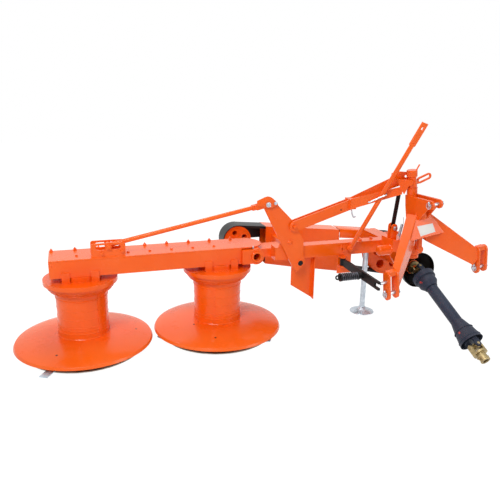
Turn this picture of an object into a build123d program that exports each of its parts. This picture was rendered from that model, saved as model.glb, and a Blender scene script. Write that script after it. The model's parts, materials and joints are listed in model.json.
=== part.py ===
# Two-drum rotary drum mower on a three-point headstock, built as separate named pieces.
# Frame: origin on the floor under the outer drum, +X along the cutter beam towards the
# headstock, +Y to the rear (the tractor stands towards -Y), +Z up. Millimetres.
from build123d import *
from math import atan2, cos, degrees, radians, sin
import os

os.makedirs("parts", exist_ok=True)

# clearances: touching curved faces and running fits
gap = 0.3
run = 0.05

# drums, discs and sliding saucers
drum_pitch = 820.0
drum_rows = (("outer", 0.0, -120.0, 0.0), ("inner", drum_pitch, -50.0, 110.0))
disc_rim_r = 401.5
disc_lip_r = 393.5
disc_slope_r = 341.5
disc_edge_z = 106.0
disc_rim_z = 121.0
disc_slope_z = 136.0
disc_top_z = 165.0
disc_plate = 5.0
disc_step = 8.0
drum_r = 149.0
drum_waist = 4.0
drum_waist_z = 300.0
drum_top_z = 452.0
drum_flange_r = 187.0
drum_flange_t = 21.0
spigot_r = 108.0
spigot_z = 135.0
rotor_shaft_r = 25.0
rotor_shaft_top = 560.0
saucer_flat_r = 215.0
saucer_rim_r = 345.0
saucer_rim_z = 62.0
saucer_plate = 6.0
saucer_hub_r = 60.0

# knives: each hangs on a pin under its disc, all but one swung back under it
knife_places = (0.0, 120.0, 240.0)
knife_swing = 110.0
knife_width = 48.0
knife_length = 105.0
knife_tail = 22.0
knife_pin_at_r = 372.0
knife_pin_r = 9.0
knife_head_r = 15.0
knife_head_t = 5.0
knife_z = 90.0
knife_t = 4.0

# cutter beam
beam_half = 110.0
beam_left = -166.0
beam_right = 945.0
beam_bottom = 534.0
beam_top = 630.0
cover_t = 8.0
cover_right = 1100.0
hinge_x = 1035.0
hinge_z = 580.0
boss_r = 49.5
boss_y = 135.0
boss_t = 50.0
boss_web = 88.0
hinge_tube_r = 30.0
hinge_tube_bore = 22.0
hinge_tube_back = 235.0
hinge_tube_front = -127.0
shield_r = 210.0
shield_z = 478.0
shield_t = 25.0
shield_bore = 33.0
neck_r = 118.0
tab_x = 80.0
tab_w = 44.0
tab_t = 8.0
tab_h = 62.0

# crank plate, pull rod and the rod's slotted bracket on the beam
crank_back = -158.0
crank_t = 12.0
crank_pin_x = 1084.0
crank_pin_z = 911.0
crank_bolt_x = 1296.0
crank_bolt_z = 592.0
crank_outline = (
    (1090.0, 955.0), (1137.0, 916.0), (1251.0, 800.0), (1325.0, 675.0), (1329.0, 579.0),
    (1342.0, 532.0), (1290.0, 471.0), (1255.0, 513.0), (1062.0, 889.0),
)
lug_back = -138.0
lug_t = 12.0
lug_base = (1170.0, 1300.0)
lug_top = (1200.0, 1265.0)
lug_top_z = 705.0
lug_bolt_x = 1233.0
lug_bolt_z = 667.0
spacer_r = 18.0
rod_end_x = 160.0
rod_end_z = 697.0
rod_end_y = -66.0
rod_r = 13.0
rod_pin_r = 10.0
rod_eye_r = 18.0
rod_eye_w = 24.0
fork_length = 100.0
fork_height = 34.0
fork_t = 8.0
fork_inside = 16.0
fork_offset = 33.0
fork_block = 30.0
slot_length = 138.0
slot_height = 27.0
slot_drop = 2.3
slot_plate_length = 190.0
slot_plate_height = 82.0
slot_plate_t = 8.0
slot_plate_inside = 60.0
slot_corner = 14.0

# main frame
bar = 80.0
front_y = -150.0
back_y = front_y + bar
front_left = 1150.0
front_right = 1960.0
front_bottom = 552.0
front_top = front_bottom + bar
knuckle_r = 44.0
knuckle_half = 70.0
knuckle_web = 56.0
knuckle_lap = 90.0
arm_x = 1962.0
arm_w = 100.0
arm_end = 160.0
bush_low = 105.0
bush_high = 198.0
bush_r = 45.0
bush_block = (1885.0, 2030.0)
bush_block_y = -290.0
bush_block_low = 590.0
bush_block_high = 665.0
cross_arm_x = 1305.0
cross_arm_w = 70.0
cross_arm_low = 556.0
cross_arm_h = 50.0

# belt drive
belt_front = 275.0
belt_count = 4
belt_step = 26.0
belt_inset = 8.0
belt_w = 17.0
belt_t = 13.0
small_r = 84.0
big_r = 145.0
pulley_w = 106.0
pulley_web = 16.0
small_windows = (4, 52.0, 17.0)
big_windows = (5, 92.0, 32.0)
input_x = 2208.0
input_z = 393.0
input_shaft_r = 17.45
input_shaft_front = -80.0
driven_shaft_front = 60.0
tunnel_top = ((1232.0, 665.0), (1515.0, 636.0), (1790.0, 608.5))
tunnel_low = ((1802.0, 297.0), (1611.0, 331.0), (1433.0, 360.0), (1232.0, 400.0))
tunnel_front = 262.0
tunnel_back = 400.0
tunnel_wall = 3.0
hood_clear = 3.5
hood_t = 2.5
hood_back = 387.0
hood_low = 560.0
housing_r = 50.0
housing_back = 240.0
housing_front = -60.0
web_back = 40.0
web_t = 20.0
web_outline = (
    (arm_x + arm_w / 2, front_top), (arm_x + arm_w / 2, front_bottom), (2130.0, 375.0),
    (2230.0, 375.0), (2230.0, 455.0), (2130.0, 632.0),
)
skirt_outline = ((1280.0, 552.0), (1430.0, 552.0), (1430.0, 262.0), (1280.0, 362.0))
skirt_back = -94.0
skirt_t = 6.0
skirt_fold = 30.0

# boom from the crank plate to the collar on the post
boom_near = ((1250.0, 800.0), (1640.0, 924.0), (1640.0, 857.0), (1272.0, 738.0))
boom_near_faces = (-142.0, -176.0)
boom_plate = 10.0
boom_pin_x = 1255.0
boom_pin_z = 768.0
boom_eye_x = 1258.0
boom_eye_r = 33.0
boom_pin_r = 12.0
boom_bend = (1635.0, -164.0, 890.0)
boom_block = (40.0, 80.0, 62.0)
boom_fork_inside = 24.0
boom_near_end = ((0.0, 33.0), (0.84, 122.0), (0.84, 74.5), (0.0, -33.0))
boom_far_end = (
    (0.0, 33.0), (0.65, 162.0), (0.66, 192.0), (0.80, 204.0), (1.04, 200.0), (1.04, 154.0), (0.0, -12.0),
)
boom_eye = (0.9, 176.0)
boom_eye_bore = 8.0
boom_bracket = ((0.73, 167.0), (1.0, 163.0), (1.0, 133.0), (0.935, 127.0), (0.875, 76.0), (0.83, 96.0))
collar_over_mast = 75.0
collar_h = 40.0
collar_r = 30.0

# tie bar between the boom and its lug on the bush block
tie_share = 0.8
tie_rise = 92.0
tie_t = 7.0
tie_w = 26.0
tie_foot = (1908.0, -232.0, 742.0)
tie_pin_r = 9.0
tie_lug_gap = 30.0
tie_lug_t = 8.0
tie_lug_w = 40.0
tie_over = 14.0

# hitch frame, measured from the middle between the lower pins
hitch_place = (2048.7, -540.6, 477.4)
hitch_yaw = 7.0
hitch_roll = 6.75
lower_span = 683.0
mast_height = 460.0
mast_pin_rear = 25.0
mast_ear_r = 27.0
mast_plate_back = ((5.0, -225.0), (19.0, -42.0), (19.0, 27.0))
mast_plate_slope = ((52.0, -30.0), (138.0, -123.0), (214.0, -225.0))
lower_pin_r = 11.0
top_pin_r = 9.5
pin_half = 52.0
post_rear = 225.0
post_r = 26.0
post_low = 80.0
post_over_mast = 175.0
post_foot_r = 38.0
post_foot_h = 20.0
post_cap_r = 28.0
post_cap_h = 12.0
sleeve_low = 235.0
sleeve_over_mast = 70.0
sleeve_r = 32.0
ear_inside = 48.0
ear_t = 12.0
ear_w = 56.0
ear_length = 176.0
ear_mid = 52.0
strap_high = 125.0
strap_w = 40.0
strap_t = 26.0
leg_root = (20.0, 190.0)
leg_root_drop = 142.0
leg_root_size = (60.0, 165.0)
leg_foot = (24.0, 0.0, 62.0)
leg_foot_size = (44.0, 95.0)
gusset_top_back = 150.0
gusset_top_drop = 68.0
gusset_low_back = 96.0
gusset_low_drop = 215.0
gusset_half_top = 34.0
gusset_half_low = 155.0
gusset_t = 8.0
side_pin_high = 78.0
side_pin_r = 9.0
side_pin_length = 42.0
loop_length = 110.0
loop_width = 40.0
loop_bar = 11.0
loop_t = 10.0
loop_out = 92.0
loop_over_mast = 112.0
loop_turn = 12.0
loop_tab = (28.0, 48.0, 20.0)

# parking stand in its sleeve
stand_x = 1967.0
stand_y = 174.0
stand_r = 19.0
stand_top = 614.0
stand_profile = ((0.0, 0.0), (88.0, 0.0), (86.0, 5.0), (46.0, 20.0), (28.0, 34.0), (19.0, 38.0))
sleeve_tube_r = 27.0
sleeve_tube_low = 470.0
sleeve_tube_h = 152.0

# transport strut
strut_foot = (1648.0, -174.0, 597.0)
strut_end = (1909.0, -441.0, 1362.5)
strut_r = 14.0
strut_eye_r = 18.0
strut_eye_w = 24.0
strut_pin_r = 8.0
strut_pin_length = 44.0
strut_flat_back = 110.0
strut_flat_over = 35.0
strut_flat_w = 40.0
strut_flat_t = 12.0
strut_hole_r = 10.0
strut_plate = (80.0, 8.0, 44.0)

# transport catch
catch_place = (1600.0, -176.0, 515.0)
catch_ear_r = 20.0
catch_ear_inside = 52.0
catch_ear_t = 8.0
catch_pin_r = 8.0
catch_eye_r = 17.0
catch_eye_h = 42.0
catch_t = 14.0
catch_root_h = 40.0
catch_h = 52.0
catch_taper = 70.0
catch_nose = 20.0
catch_mouth = 24.0
catch_short = 60.0
catch_drop = 4.0
catch_strap_x = 1625.0
catch_strap_w = 95.0
catch_strap_low = 430.0
catch_strap_t = 8.0
spring_at = 250.0
spring_r = 20.0
spring_length = 120.0
spring_rod_r = 9.0
spring_rod_length = 150.0

# drive shaft to the tractor
first_joint_y = -120.0
shaft_aim = (55.0, -645.0, -350.0)
joint_span = 665.0
fork_in = 32.0
fork_ear_t = 13.0
fork_ear_r = 18.0
fork_reach = 40.0
fork_disc = 14.0
cross_r = 9.0
cross_block = 34.0
yoke_neck_r = 24.0
yoke_bore_r = 17.45
yoke_hub_r = 28.0
yoke_length = 105.0
inner_yoke_back = -60.0
guard_neck_r = 44.0
guard_wall = 3.0
rear_guard = ((76.0, 62.0), (74.0, 98.0), (65.0, 98.0), (64.0, 136.0), (44.0, 168.0))
front_guard_back = ((76.0, 38.0), (60.0, 120.0), (39.0, 200.0))
inner_tube_r = 33.5
inner_tube_short = 145.0
outer_tube_r = 38.5
outer_tube_bore = 34.0
outer_tube_start = 178.0
guard_collar = 5.0
outer_tube_short = 85.0
outer_tube_floor_back = 125.0
bowl_profile = (
    (50.3, -30.0), (62.0, -34.0), (118.0, -96.0), (122.0, -132.0), (118.0, -132.0), (114.0, -98.0),
    (59.0, -38.0), (50.3, -34.0),
)

yaw_c = cos(radians(hitch_yaw))
yaw_s = sin(radians(hitch_yaw))
roll_c = cos(radians(hitch_roll))
roll_s = sin(radians(hitch_roll))
lat = Vector(yaw_c * roll_c, yaw_s * roll_c, roll_s)
rear = Vector(-yaw_s, yaw_c, 0.0)
up = lat.cross(rear)
hitch = Vector(*hitch_place)
half = lower_span / 2
ear_outside = ear_inside / 2 + ear_t
post_high = mast_height + post_over_mast
sleeve_high = mast_height + sleeve_over_mast
collar_low = mast_height + collar_over_mast
reach = lower_span + mast_height
bottom_up = (Align.CENTER, Align.CENTER, Align.MIN)


def at(lateral, back, high):
    """A point in the hitch frame: across, to the rear and up from the lower pins."""
    return hitch + lat * lateral + rear * back + up * high


def side_plane(y, x=0.0, z=0.0):
    """A plane across the machine: sketch x is +X, sketch y is +Z, extrusion goes to -Y."""
    return Plane(origin=(x, y, z), x_dir=(1, 0, 0), z_dir=(0, -1, 0))


def hitch_side(lateral):
    """A plane across the hitch: sketch x is to the rear, sketch y is up the post."""
    return Plane(origin=at(lateral, 0, 0), x_dir=rear, z_dir=lat)


def hitch_face(back):
    """A plane facing the tractor: sketch x is across the hitch, sketch y is up the post."""
    return Plane(origin=at(0, back, 0), x_dir=lat, z_dir=rear * -1.0)


def on_post(high):
    """A plane square to the post, at a height above the lower pins."""
    return Plane(origin=at(0, post_rear, high), z_dir=up)


def along(a, b):
    """A plane at point a that looks towards point b."""
    return Plane(origin=a, z_dir=b - a)


def save(piece, name):
    piece.label = name
    export_step(piece, "parts/" + name + ".step")
    print(name, round(piece.volume / 1000.0, 1))


# drums with their discs, knives, saucers and fixed top shields
for name, x, turn, first_swing in drum_rows:
    spindle = Axis((x, 0, 0), (0, 0, 1))
    with BuildPart() as disc:
        with BuildSketch(side_plane(0, x)):
            with BuildLine():
                Polyline(
                    (spigot_r + gap, disc_top_z),
                    (drum_r + disc_step, disc_top_z),
                    (disc_slope_r, disc_slope_z),
                    (disc_lip_r, disc_rim_z),
                    (disc_rim_r, disc_edge_z),
                    (disc_rim_r - disc_plate, disc_edge_z),
                    (disc_lip_r - disc_plate, disc_rim_z - disc_plate),
                    (disc_slope_r, disc_slope_z - disc_plate),
                    (drum_r + disc_step, disc_top_z - disc_plate),
                    (spigot_r + gap, disc_top_z - disc_plate),
                    close=True,
                )
            make_face()
        revolve(axis=spindle)
        with Locations((x, 0, knife_z - knife_head_t)):
            with PolarLocations(knife_pin_at_r, len(knife_places), start_angle=turn):
                Cylinder(radius=knife_head_r, height=knife_head_t, align=bottom_up)
                Cylinder(radius=knife_pin_r, height=disc_rim_z + disc_plate / 2 - knife_z, align=bottom_up)
    save(disc.part, name + "_disc")

    with BuildPart() as drum:
        with BuildSketch(side_plane(0, x)):
            with BuildLine():
                Polyline(
                    (0.0, spigot_z),
                    (spigot_r, spigot_z),
                    (spigot_r, disc_top_z),
                    (drum_r, disc_top_z),
                    (drum_r - drum_waist, drum_waist_z),
                    (drum_r, drum_top_z),
                    (drum_flange_r, drum_top_z),
                    (drum_flange_r, drum_top_z + drum_flange_t),
                    (rotor_shaft_r, drum_top_z + drum_flange_t),
                    (rotor_shaft_r, rotor_shaft_top),
                    (0.0, rotor_shaft_top),
                    close=True,
                )
            make_face()
        revolve(axis=spindle)
    save(drum.part, name + "_drum")

    with BuildPart() as knives:
        for place in knife_places:
            angle = turn + place
            swing = first_swing if place == knife_places[0] else knife_swing
            pin_x = x + knife_pin_at_r * cos(radians(angle))
            pin_y = knife_pin_at_r * sin(radians(angle))
            with Locations(Location((pin_x, pin_y, knife_z), (0, 0, angle + swing))):
                with Locations((knife_length / 2 - knife_tail, 0, 0)):
                    Box(knife_length, knife_width, knife_t, align=bottom_up)
            with Locations((pin_x, pin_y, knife_z)):
                Cylinder(radius=knife_pin_r + gap, height=knife_t, align=bottom_up, mode=Mode.SUBTRACT)
    save(knives.part, name + "_knives")

    with BuildPart() as saucer:
        with BuildSketch(side_plane(0, x)):
            with BuildLine():
                Polyline(
                    (0.0, 0.0),
                    (saucer_flat_r, 0.0),
                    (saucer_rim_r, saucer_rim_z),
                    (saucer_rim_r, saucer_rim_z + saucer_plate),
                    (saucer_flat_r, saucer_plate),
                    (saucer_hub_r, saucer_plate),
                    (saucer_hub_r, spigot_z),
                    (0.0, spigot_z),
                    close=True,
                )
            make_face()
        revolve(axis=spindle)
    save(saucer.part, name + "_saucer")

    with BuildPart() as shield:
        with Locations((x, 0, shield_z)):
            Cylinder(radius=shield_r, height=shield_t, align=bottom_up)
            Cylinder(radius=neck_r, height=beam_bottom - shield_z, align=bottom_up)
        tab_y = -beam_half - tab_t / 2
        with Locations((x - tab_x, tab_y, shield_z + shield_t), (x + tab_x, tab_y, shield_z + shield_t)):
            Box(tab_w, tab_t, tab_h, align=bottom_up)
        with Locations((x, 0, shield_z)):
            Cylinder(radius=shield_bore, height=reach, mode=Mode.SUBTRACT)
    save(shield.part, name + "_top_shield")

# cutter beam: box, bolted cover, hinge bosses and the pull rod's slotted bracket
with BuildPart() as beam:
    with Locations(((beam_left + beam_right) / 2, 0, beam_bottom)):
        Box(beam_right - beam_left, 2 * beam_half, beam_top - beam_bottom, align=bottom_up)
    with Locations((0, 0, beam_bottom), (drum_pitch, 0, beam_bottom)):
        Cylinder(
            radius=rotor_shaft_r + run, height=rotor_shaft_top - beam_bottom + hood_clear,
            align=bottom_up, mode=Mode.SUBTRACT,
        )
save(beam.part, "beam_box")

with BuildPart() as cover:
    with BuildSketch(Plane.XY.offset(beam_top)):
        with Locations(((beam_left + cover_right - beam_half) / 2, 0)):
            Rectangle(cover_right - beam_half - beam_left, 2 * beam_half)
        with Locations((cover_right - beam_half, 0)):
            Circle(beam_half)
    extrude(amount=cover_t)
save(cover.part, "beam_cover")

with BuildPart() as boss:
    for y in (boss_y, boss_t - boss_y):
        with BuildSketch(side_plane(y)):
            with Locations((hinge_x, hinge_z)):
                Circle(boss_r)
            with Locations(((beam_right + hinge_x) / 2, hinge_z)):
                Rectangle(hinge_x - beam_right, boss_web)
        extrude(amount=boss_t)
    with BuildSketch(side_plane(2 * boss_y, hinge_x, hinge_z)):
        Circle(hinge_tube_r + run)
    extrude(amount=4 * boss_y, mode=Mode.SUBTRACT)
save(boss.part, "hinge_bosses")

plate_centre_z = beam_top + cover_t + slot_plate_height / 2
with BuildPart() as bracket:
    for shift in (-slot_plate_inside / 2, slot_plate_inside / 2 + slot_plate_t):
        with BuildSketch(side_plane(rod_end_y + shift)):
            with Locations((rod_end_x, plate_centre_z)):
                RectangleRounded(slot_plate_length, slot_plate_height, slot_corner)
            with Locations((rod_end_x, rod_end_z - slot_drop)):
                SlotOverall(slot_length, slot_height, mode=Mode.SUBTRACT)
        extrude(amount=slot_plate_t)
save(bracket.part, "rod_bracket")

# pull rod: fork over the crank plate, tube, and the eye and pin in the bracket's slots
rod_top = Vector(crank_pin_x, crank_back - crank_t / 2, crank_pin_z)
rod_low = Vector(rod_end_x, rod_end_y, rod_end_z)
rod_unit = (rod_low - rod_top).normalized()
fork_turn = degrees(atan2(rod_unit.Z, rod_unit.X))
fork_middle = (rod_unit.X * fork_offset, rod_unit.Z * fork_offset, 0)
fork_root = fork_offset + fork_length / 2 - fork_height / 2
pin_length = slot_plate_inside + 2 * slot_plate_t + 6 * gap
with BuildPart() as pull_rod:
    for shift in (fork_inside / 2 + fork_t, -fork_inside / 2):
        with BuildSketch(side_plane(rod_top.Y + shift, crank_pin_x, crank_pin_z)):
            with Locations(Location(fork_middle, (0, 0, fork_turn))):
                SlotOverall(fork_length, fork_height)
        extrude(amount=fork_t)
    with Locations(Plane(origin=rod_top + rod_unit * fork_root, z_dir=rod_unit)):
        Box(fork_block, fork_block, fork_block, align=bottom_up)
        Cylinder(radius=rod_r, height=(rod_low - rod_top).length - fork_root, align=bottom_up)
    with BuildSketch(side_plane(rod_top.Y + fork_inside / 2 + 2 * fork_t, crank_pin_x, crank_pin_z)):
        Circle(rod_pin_r)
    extrude(amount=fork_inside + 4 * fork_t)
    with BuildSketch(side_plane(rod_end_y + rod_eye_w / 2, rod_end_x, rod_end_z)):
        Circle(rod_eye_r)
    extrude(amount=rod_eye_w)
    with BuildSketch(side_plane(rod_end_y + pin_length / 2, rod_end_x, rod_end_z)):
        Circle(rod_pin_r)
    extrude(amount=pin_length)
    for shift in (pin_length / 2 + fork_t, -pin_length / 2):
        with BuildSketch(side_plane(rod_end_y + shift, rod_end_x, rod_end_z)):
            Circle(rod_eye_r)
        extrude(amount=fork_t)
save(pull_rod.part, "pull_rod")

# main frame: hinge knuckle, front beam, swivel bush, rear arm and input housing
with BuildPart() as knuckle:
    with BuildSketch(side_plane(knuckle_half)):
        with Locations((hinge_x, hinge_z)):
            Circle(knuckle_r)
        with Locations(((hinge_x + front_left + knuckle_lap) / 2, hinge_z)):
            Rectangle(front_left + knuckle_lap - hinge_x, knuckle_web)
    extrude(amount=2 * knuckle_half)
    with BuildSketch(side_plane(hinge_tube_back, hinge_x, hinge_z)):
        Circle(hinge_tube_r)
    extrude(amount=hinge_tube_back - hinge_tube_front)
    with BuildSketch(side_plane(hinge_tube_back, hinge_x, hinge_z)):
        Circle(hinge_tube_bore)
    extrude(amount=hinge_tube_back - hinge_tube_front, mode=Mode.SUBTRACT)
save(knuckle.part, "hinge_knuckle")

with BuildPart() as front_beam:
    with Locations(((front_left + front_right) / 2, (front_y + back_y) / 2, front_bottom)):
        Box(front_right - front_left, bar, bar, align=bottom_up)
save(front_beam.part, "front_beam")

with BuildPart() as bush:
    with Locations(on_post(bush_low)):
        Cylinder(radius=bush_r, height=bush_high - bush_low, align=bottom_up)
    with Locations((sum(bush_block) / 2, (bush_block_y + front_y) / 2, bush_block_low)):
        Box(
            bush_block[1] - bush_block[0], front_y - bush_block_y, bush_block_high - bush_block_low,
            align=bottom_up,
        )
    with Locations(on_post(0)):
        Cylinder(radius=post_r + run, height=mast_height, align=bottom_up, mode=Mode.SUBTRACT)
save(bush.part, "swivel_bush")

with BuildPart() as rear_arm:
    with Locations((arm_x, (back_y + arm_end) / 2, front_bottom)):
        Box(arm_w, arm_end - back_y, bar, align=bottom_up)
    with Locations((stand_x, stand_y, sleeve_tube_low)):
        Cylinder(radius=sleeve_tube_r, height=sleeve_tube_h, align=bottom_up)
        Cylinder(radius=stand_r + run, height=sleeve_tube_h + bar, align=bottom_up, mode=Mode.SUBTRACT)
save(rear_arm.part, "rear_arm")

with BuildPart() as housing:
    with BuildSketch(side_plane(web_back)):
        with BuildLine():
            Polyline(*web_outline, close=True)
        make_face()
    extrude(amount=web_t)
    with BuildSketch(side_plane(housing_back, input_x, input_z)):
        Circle(housing_r)
    extrude(amount=housing_back - housing_front)
    with BuildSketch(side_plane(housing_back, input_x, input_z)):
        Circle(input_shaft_r + run)
    extrude(amount=housing_back - housing_front, mode=Mode.SUBTRACT)
save(housing.part, "input_housing")

with BuildPart() as cross_arm:
    with Locations((cross_arm_x, (back_y + tunnel_front) / 2, cross_arm_low)):
        Box(cross_arm_w, tunnel_front - back_y, cross_arm_h, align=bottom_up)
save(cross_arm.part, "cross_arm")

# belt drive: housing, hood over the driven pulley, belts and the two pulleys
top_strip = tunnel_top + tuple((x, z - tunnel_wall) for x, z in reversed(tunnel_top))
low_strip = tunnel_low + tuple((x, z + tunnel_wall) for x, z in reversed(tunnel_low))
with BuildPart() as tunnel:
    for y in (tunnel_back, tunnel_front + tunnel_wall):
        with BuildSketch(side_plane(y)):
            with BuildLine():
                Polyline(*tunnel_top, *tunnel_low, close=True)
            make_face()
        extrude(amount=tunnel_wall)
    for strip in (top_strip, low_strip):
        with BuildSketch(side_plane(tunnel_back)):
            with BuildLine():
                Polyline(*strip, close=True)
            make_face()
        extrude(amount=tunnel_back - tunnel_front)
save(tunnel.part, "belt_housing")

hood_r = small_r + belt_t + hood_clear
hood_depth = hood_back - hood_t - tunnel_front - tunnel_wall
hood_strip = (
    (hinge_x, hinge_z + hood_r), (hinge_x, hinge_z + hood_r + hood_t),
    tunnel_top[0], (tunnel_top[0][0], tunnel_top[0][1] - tunnel_wall),
)
with BuildPart() as hood:
    with BuildSketch(side_plane(hood_back - hood_t)):
        with Locations((hinge_x, hinge_z)):
            Circle(hood_r + hood_t)
            Circle(hood_r, mode=Mode.SUBTRACT)
        with Locations((hinge_x, hood_low - reach / 2)):
            Rectangle(reach, reach, mode=Mode.SUBTRACT)
        with Locations((hinge_x + reach / 2, hinge_z)):
            Rectangle(reach, reach, mode=Mode.SUBTRACT)
        with BuildLine():
            Polyline(*hood_strip, close=True)
        make_face()
    extrude(amount=hood_depth)
    with BuildSketch(side_plane(hood_back)):
        with Locations((hinge_x, hinge_z)):
            Circle(hood_r + hood_t)
        with BuildLine():
            Polyline(
                (hinge_x, hinge_z + hood_r + hood_t), tunnel_top[0],
                (tunnel_top[0][0], hood_low), (hinge_x, hood_low), close=True,
            )
        make_face()
        with Locations((hinge_x, hood_low - reach / 2)):
            Rectangle(reach, reach, mode=Mode.SUBTRACT)
    extrude(amount=hood_t)
save(hood.part, "belt_hood")

with BuildPart() as belts:
    for i in range(belt_count):
        belt_back = belt_front + belt_inset + i * belt_step + belt_w
        for grow, keep in ((belt_t, Mode.ADD), (gap, Mode.SUBTRACT)):
            with BuildSketch(side_plane(belt_back)):
                with Locations((hinge_x, hinge_z)):
                    Circle(small_r + grow)
                with Locations((input_x, input_z)):
                    Circle(big_r + grow)
                make_hull()
            extrude(amount=belt_w, mode=keep)
save(belts.part, "belts")

pulley_rows = (
    ("driven_pulley", hinge_x, hinge_z, small_r, hinge_tube_bore - run, driven_shaft_front, small_windows),
    ("drive_pulley", input_x, input_z, big_r, input_shaft_r, input_shaft_front, big_windows),
)
for name, x, z, rim_r, shaft_r, shaft_front, (window_count, window_at, window_r) in pulley_rows:
    with BuildPart() as pulley:
        with BuildSketch(side_plane(belt_front + pulley_w, x, z)):
            Circle(rim_r)
        extrude(amount=pulley_w)
        with BuildSketch(side_plane(belt_front + pulley_w - pulley_web, x, z)):
            with PolarLocations(window_at, window_count, start_angle=90.0 / window_count):
                Circle(window_r)
        extrude(amount=pulley_w - pulley_web, mode=Mode.SUBTRACT)
        with BuildSketch(side_plane(belt_front + pulley_w, x, z)):
            Circle(shaft_r)
        extrude(amount=belt_front + pulley_w - shaft_front)
    save(pulley.part, name)

# skirt plate, crank plate, its lug, the boom and its collar
with BuildPart() as skirt:
    with BuildSketch(side_plane(skirt_back)):
        with BuildLine():
            Polyline(*skirt_outline, close=True)
        make_face()
    extrude(amount=skirt_t)
    fold_x, fold_low = skirt_outline[2]
    with Locations((fold_x - skirt_t / 2, skirt_back - skirt_t, fold_low)):
        Box(
            skirt_t, skirt_fold, front_bottom - fold_low,
            align=(Align.CENTER, Align.MAX, Align.MIN),
        )
save(skirt.part, "skirt_plate")

with BuildPart() as crank:
    with BuildSketch(side_plane(crank_back)):
        with BuildLine():
            Polyline(*crank_outline, close=True)
        make_face()
        with Locations((crank_pin_x, crank_pin_z)):
            Circle(rod_pin_r + run, mode=Mode.SUBTRACT)
    extrude(amount=crank_t)
    with BuildSketch(side_plane(crank_back)):
        with Locations((crank_bolt_x, crank_bolt_z)):
            Circle(spacer_r)
    extrude(amount=crank_back - front_y)
save(crank.part, "crank_plate")

with BuildPart() as lug:
    with BuildSketch(side_plane(lug_back)):
        with BuildLine():
            Polyline(
                (lug_base[0], front_top), (lug_base[1], front_top),
                (lug_top[1], lug_top_z), (lug_top[0], lug_top_z), close=True,
            )
        make_face()
    extrude(amount=lug_t)
    with BuildSketch(side_plane(lug_back, lug_bolt_x, lug_bolt_z)):
        Circle(spacer_r)
    extrude(amount=lug_back - crank_back)
save(lug.part, "crank_lug")

boom_mid = Vector(*boom_bend)
boom_far = at(0, post_rear, collar_low + collar_h / 2)
boom_run = Vector(boom_far.X - boom_mid.X, boom_far.Y - boom_mid.Y, 0)
boom_side = Vector(boom_run.Y, -boom_run.X, 0).normalized()
boom_rows = (
    (boom_near_end, boom_fork_inside),
    (boom_bracket, collar_r + gap),
    (boom_far_end, -collar_r - gap - boom_plate),
)
with BuildPart() as boom:
    for y in boom_near_faces:
        with BuildSketch(side_plane(y)):
            with BuildLine():
                Polyline(*boom_near, close=True)
            make_face()
            with Locations((boom_eye_x, boom_pin_z)):
                Circle(boom_eye_r)
        extrude(amount=boom_plate)
    pin_spans = (
        (boom_near_faces[0] + boom_plate, crank_back),
        (crank_back - crank_t, boom_near_faces[1] - 2 * boom_plate),
    )
    for y, end in pin_spans:
        with BuildSketch(side_plane(y, boom_pin_x, boom_pin_z)):
            Circle(boom_pin_r)
        extrude(amount=y - end)
    with Locations(boom_mid):
        Box(*boom_block)
    for outline, shift in boom_rows:
        with BuildSketch(Plane(origin=boom_mid + boom_side * shift, x_dir=boom_run, z_dir=boom_side)):
            with BuildLine():
                Polyline(*[(share * boom_run.length, rise) for share, rise in outline], close=True)
            make_face()
            if outline is boom_far_end:
                with Locations((boom_eye[0] * boom_run.length, boom_eye[1])):
                    Circle(boom_eye_bore, mode=Mode.SUBTRACT)
        extrude(amount=boom_plate)
    with Locations(on_post(sleeve_high)):
        Cylinder(radius=collar_r + gap, height=mast_height, align=bottom_up, mode=Mode.SUBTRACT)
save(boom.part, "boom")

with BuildPart() as collar:
    with Locations(on_post(collar_low)):
        Cylinder(radius=collar_r, height=collar_h, align=bottom_up)
        Cylinder(radius=post_r + run, height=collar_h, align=bottom_up, mode=Mode.SUBTRACT)
save(collar.part, "boom_collar")

# tie bar from the boom down to its lug
tie_low = Vector(*tie_foot)
tie_top = boom_mid + boom_run * tie_share + boom_side * (boom_fork_inside / 2) + Vector(0, 0, tie_rise)
tie_unit = (tie_low - tie_top).normalized()
tie_wide = Vector(0, 1, 0).cross(tie_unit)
with BuildPart() as tie:
    with BuildSketch(Plane(origin=tie_top - tie_unit * tie_over, x_dir=tie_wide, z_dir=tie_unit)):
        Rectangle(tie_w, tie_t)
    extrude(amount=(tie_low - tie_top).length + 2 * tie_over)
    with Locations(Plane(origin=tie_top, z_dir=boom_side)):
        Cylinder(radius=tie_pin_r, height=boom_fork_inside)
    with Locations(Plane(origin=tie_low, z_dir=(0, 1, 0))):
        Cylinder(radius=tie_pin_r + gap, height=tie_lug_gap, mode=Mode.SUBTRACT)
save(tie.part, "tie_bar")

with BuildPart() as tie_lug:
    for shift in (tie_lug_gap / 2 + tie_lug_t, -tie_lug_gap / 2):
        with BuildSketch(side_plane(tie_low.Y + shift, tie_low.X, tie_low.Z)):
            Circle(tie_lug_w / 2)
            with Locations((0, (bush_block_high - tie_low.Z) / 2)):
                Rectangle(tie_lug_w, tie_low.Z - bush_block_high)
        extrude(amount=tie_lug_t)
    with Locations(Plane(origin=tie_low, z_dir=(0, 1, 0))):
        Cylinder(radius=tie_pin_r, height=tie_lug_gap + 4 * tie_lug_t)
save(tie_lug.part, "tie_lug")

# headstock: post, sleeve, legs, clevises, gusset and top link ears
with BuildPart() as post:
    with Locations(on_post(post_low)):
        Cylinder(radius=post_r, height=post_high - post_low, align=bottom_up)
        Cylinder(radius=post_foot_r, height=post_foot_h, align=bottom_up)
    with Locations(on_post(post_high - post_cap_h)):
        Cylinder(radius=post_cap_r, height=post_cap_h, align=bottom_up)
save(post.part, "post")

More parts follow.
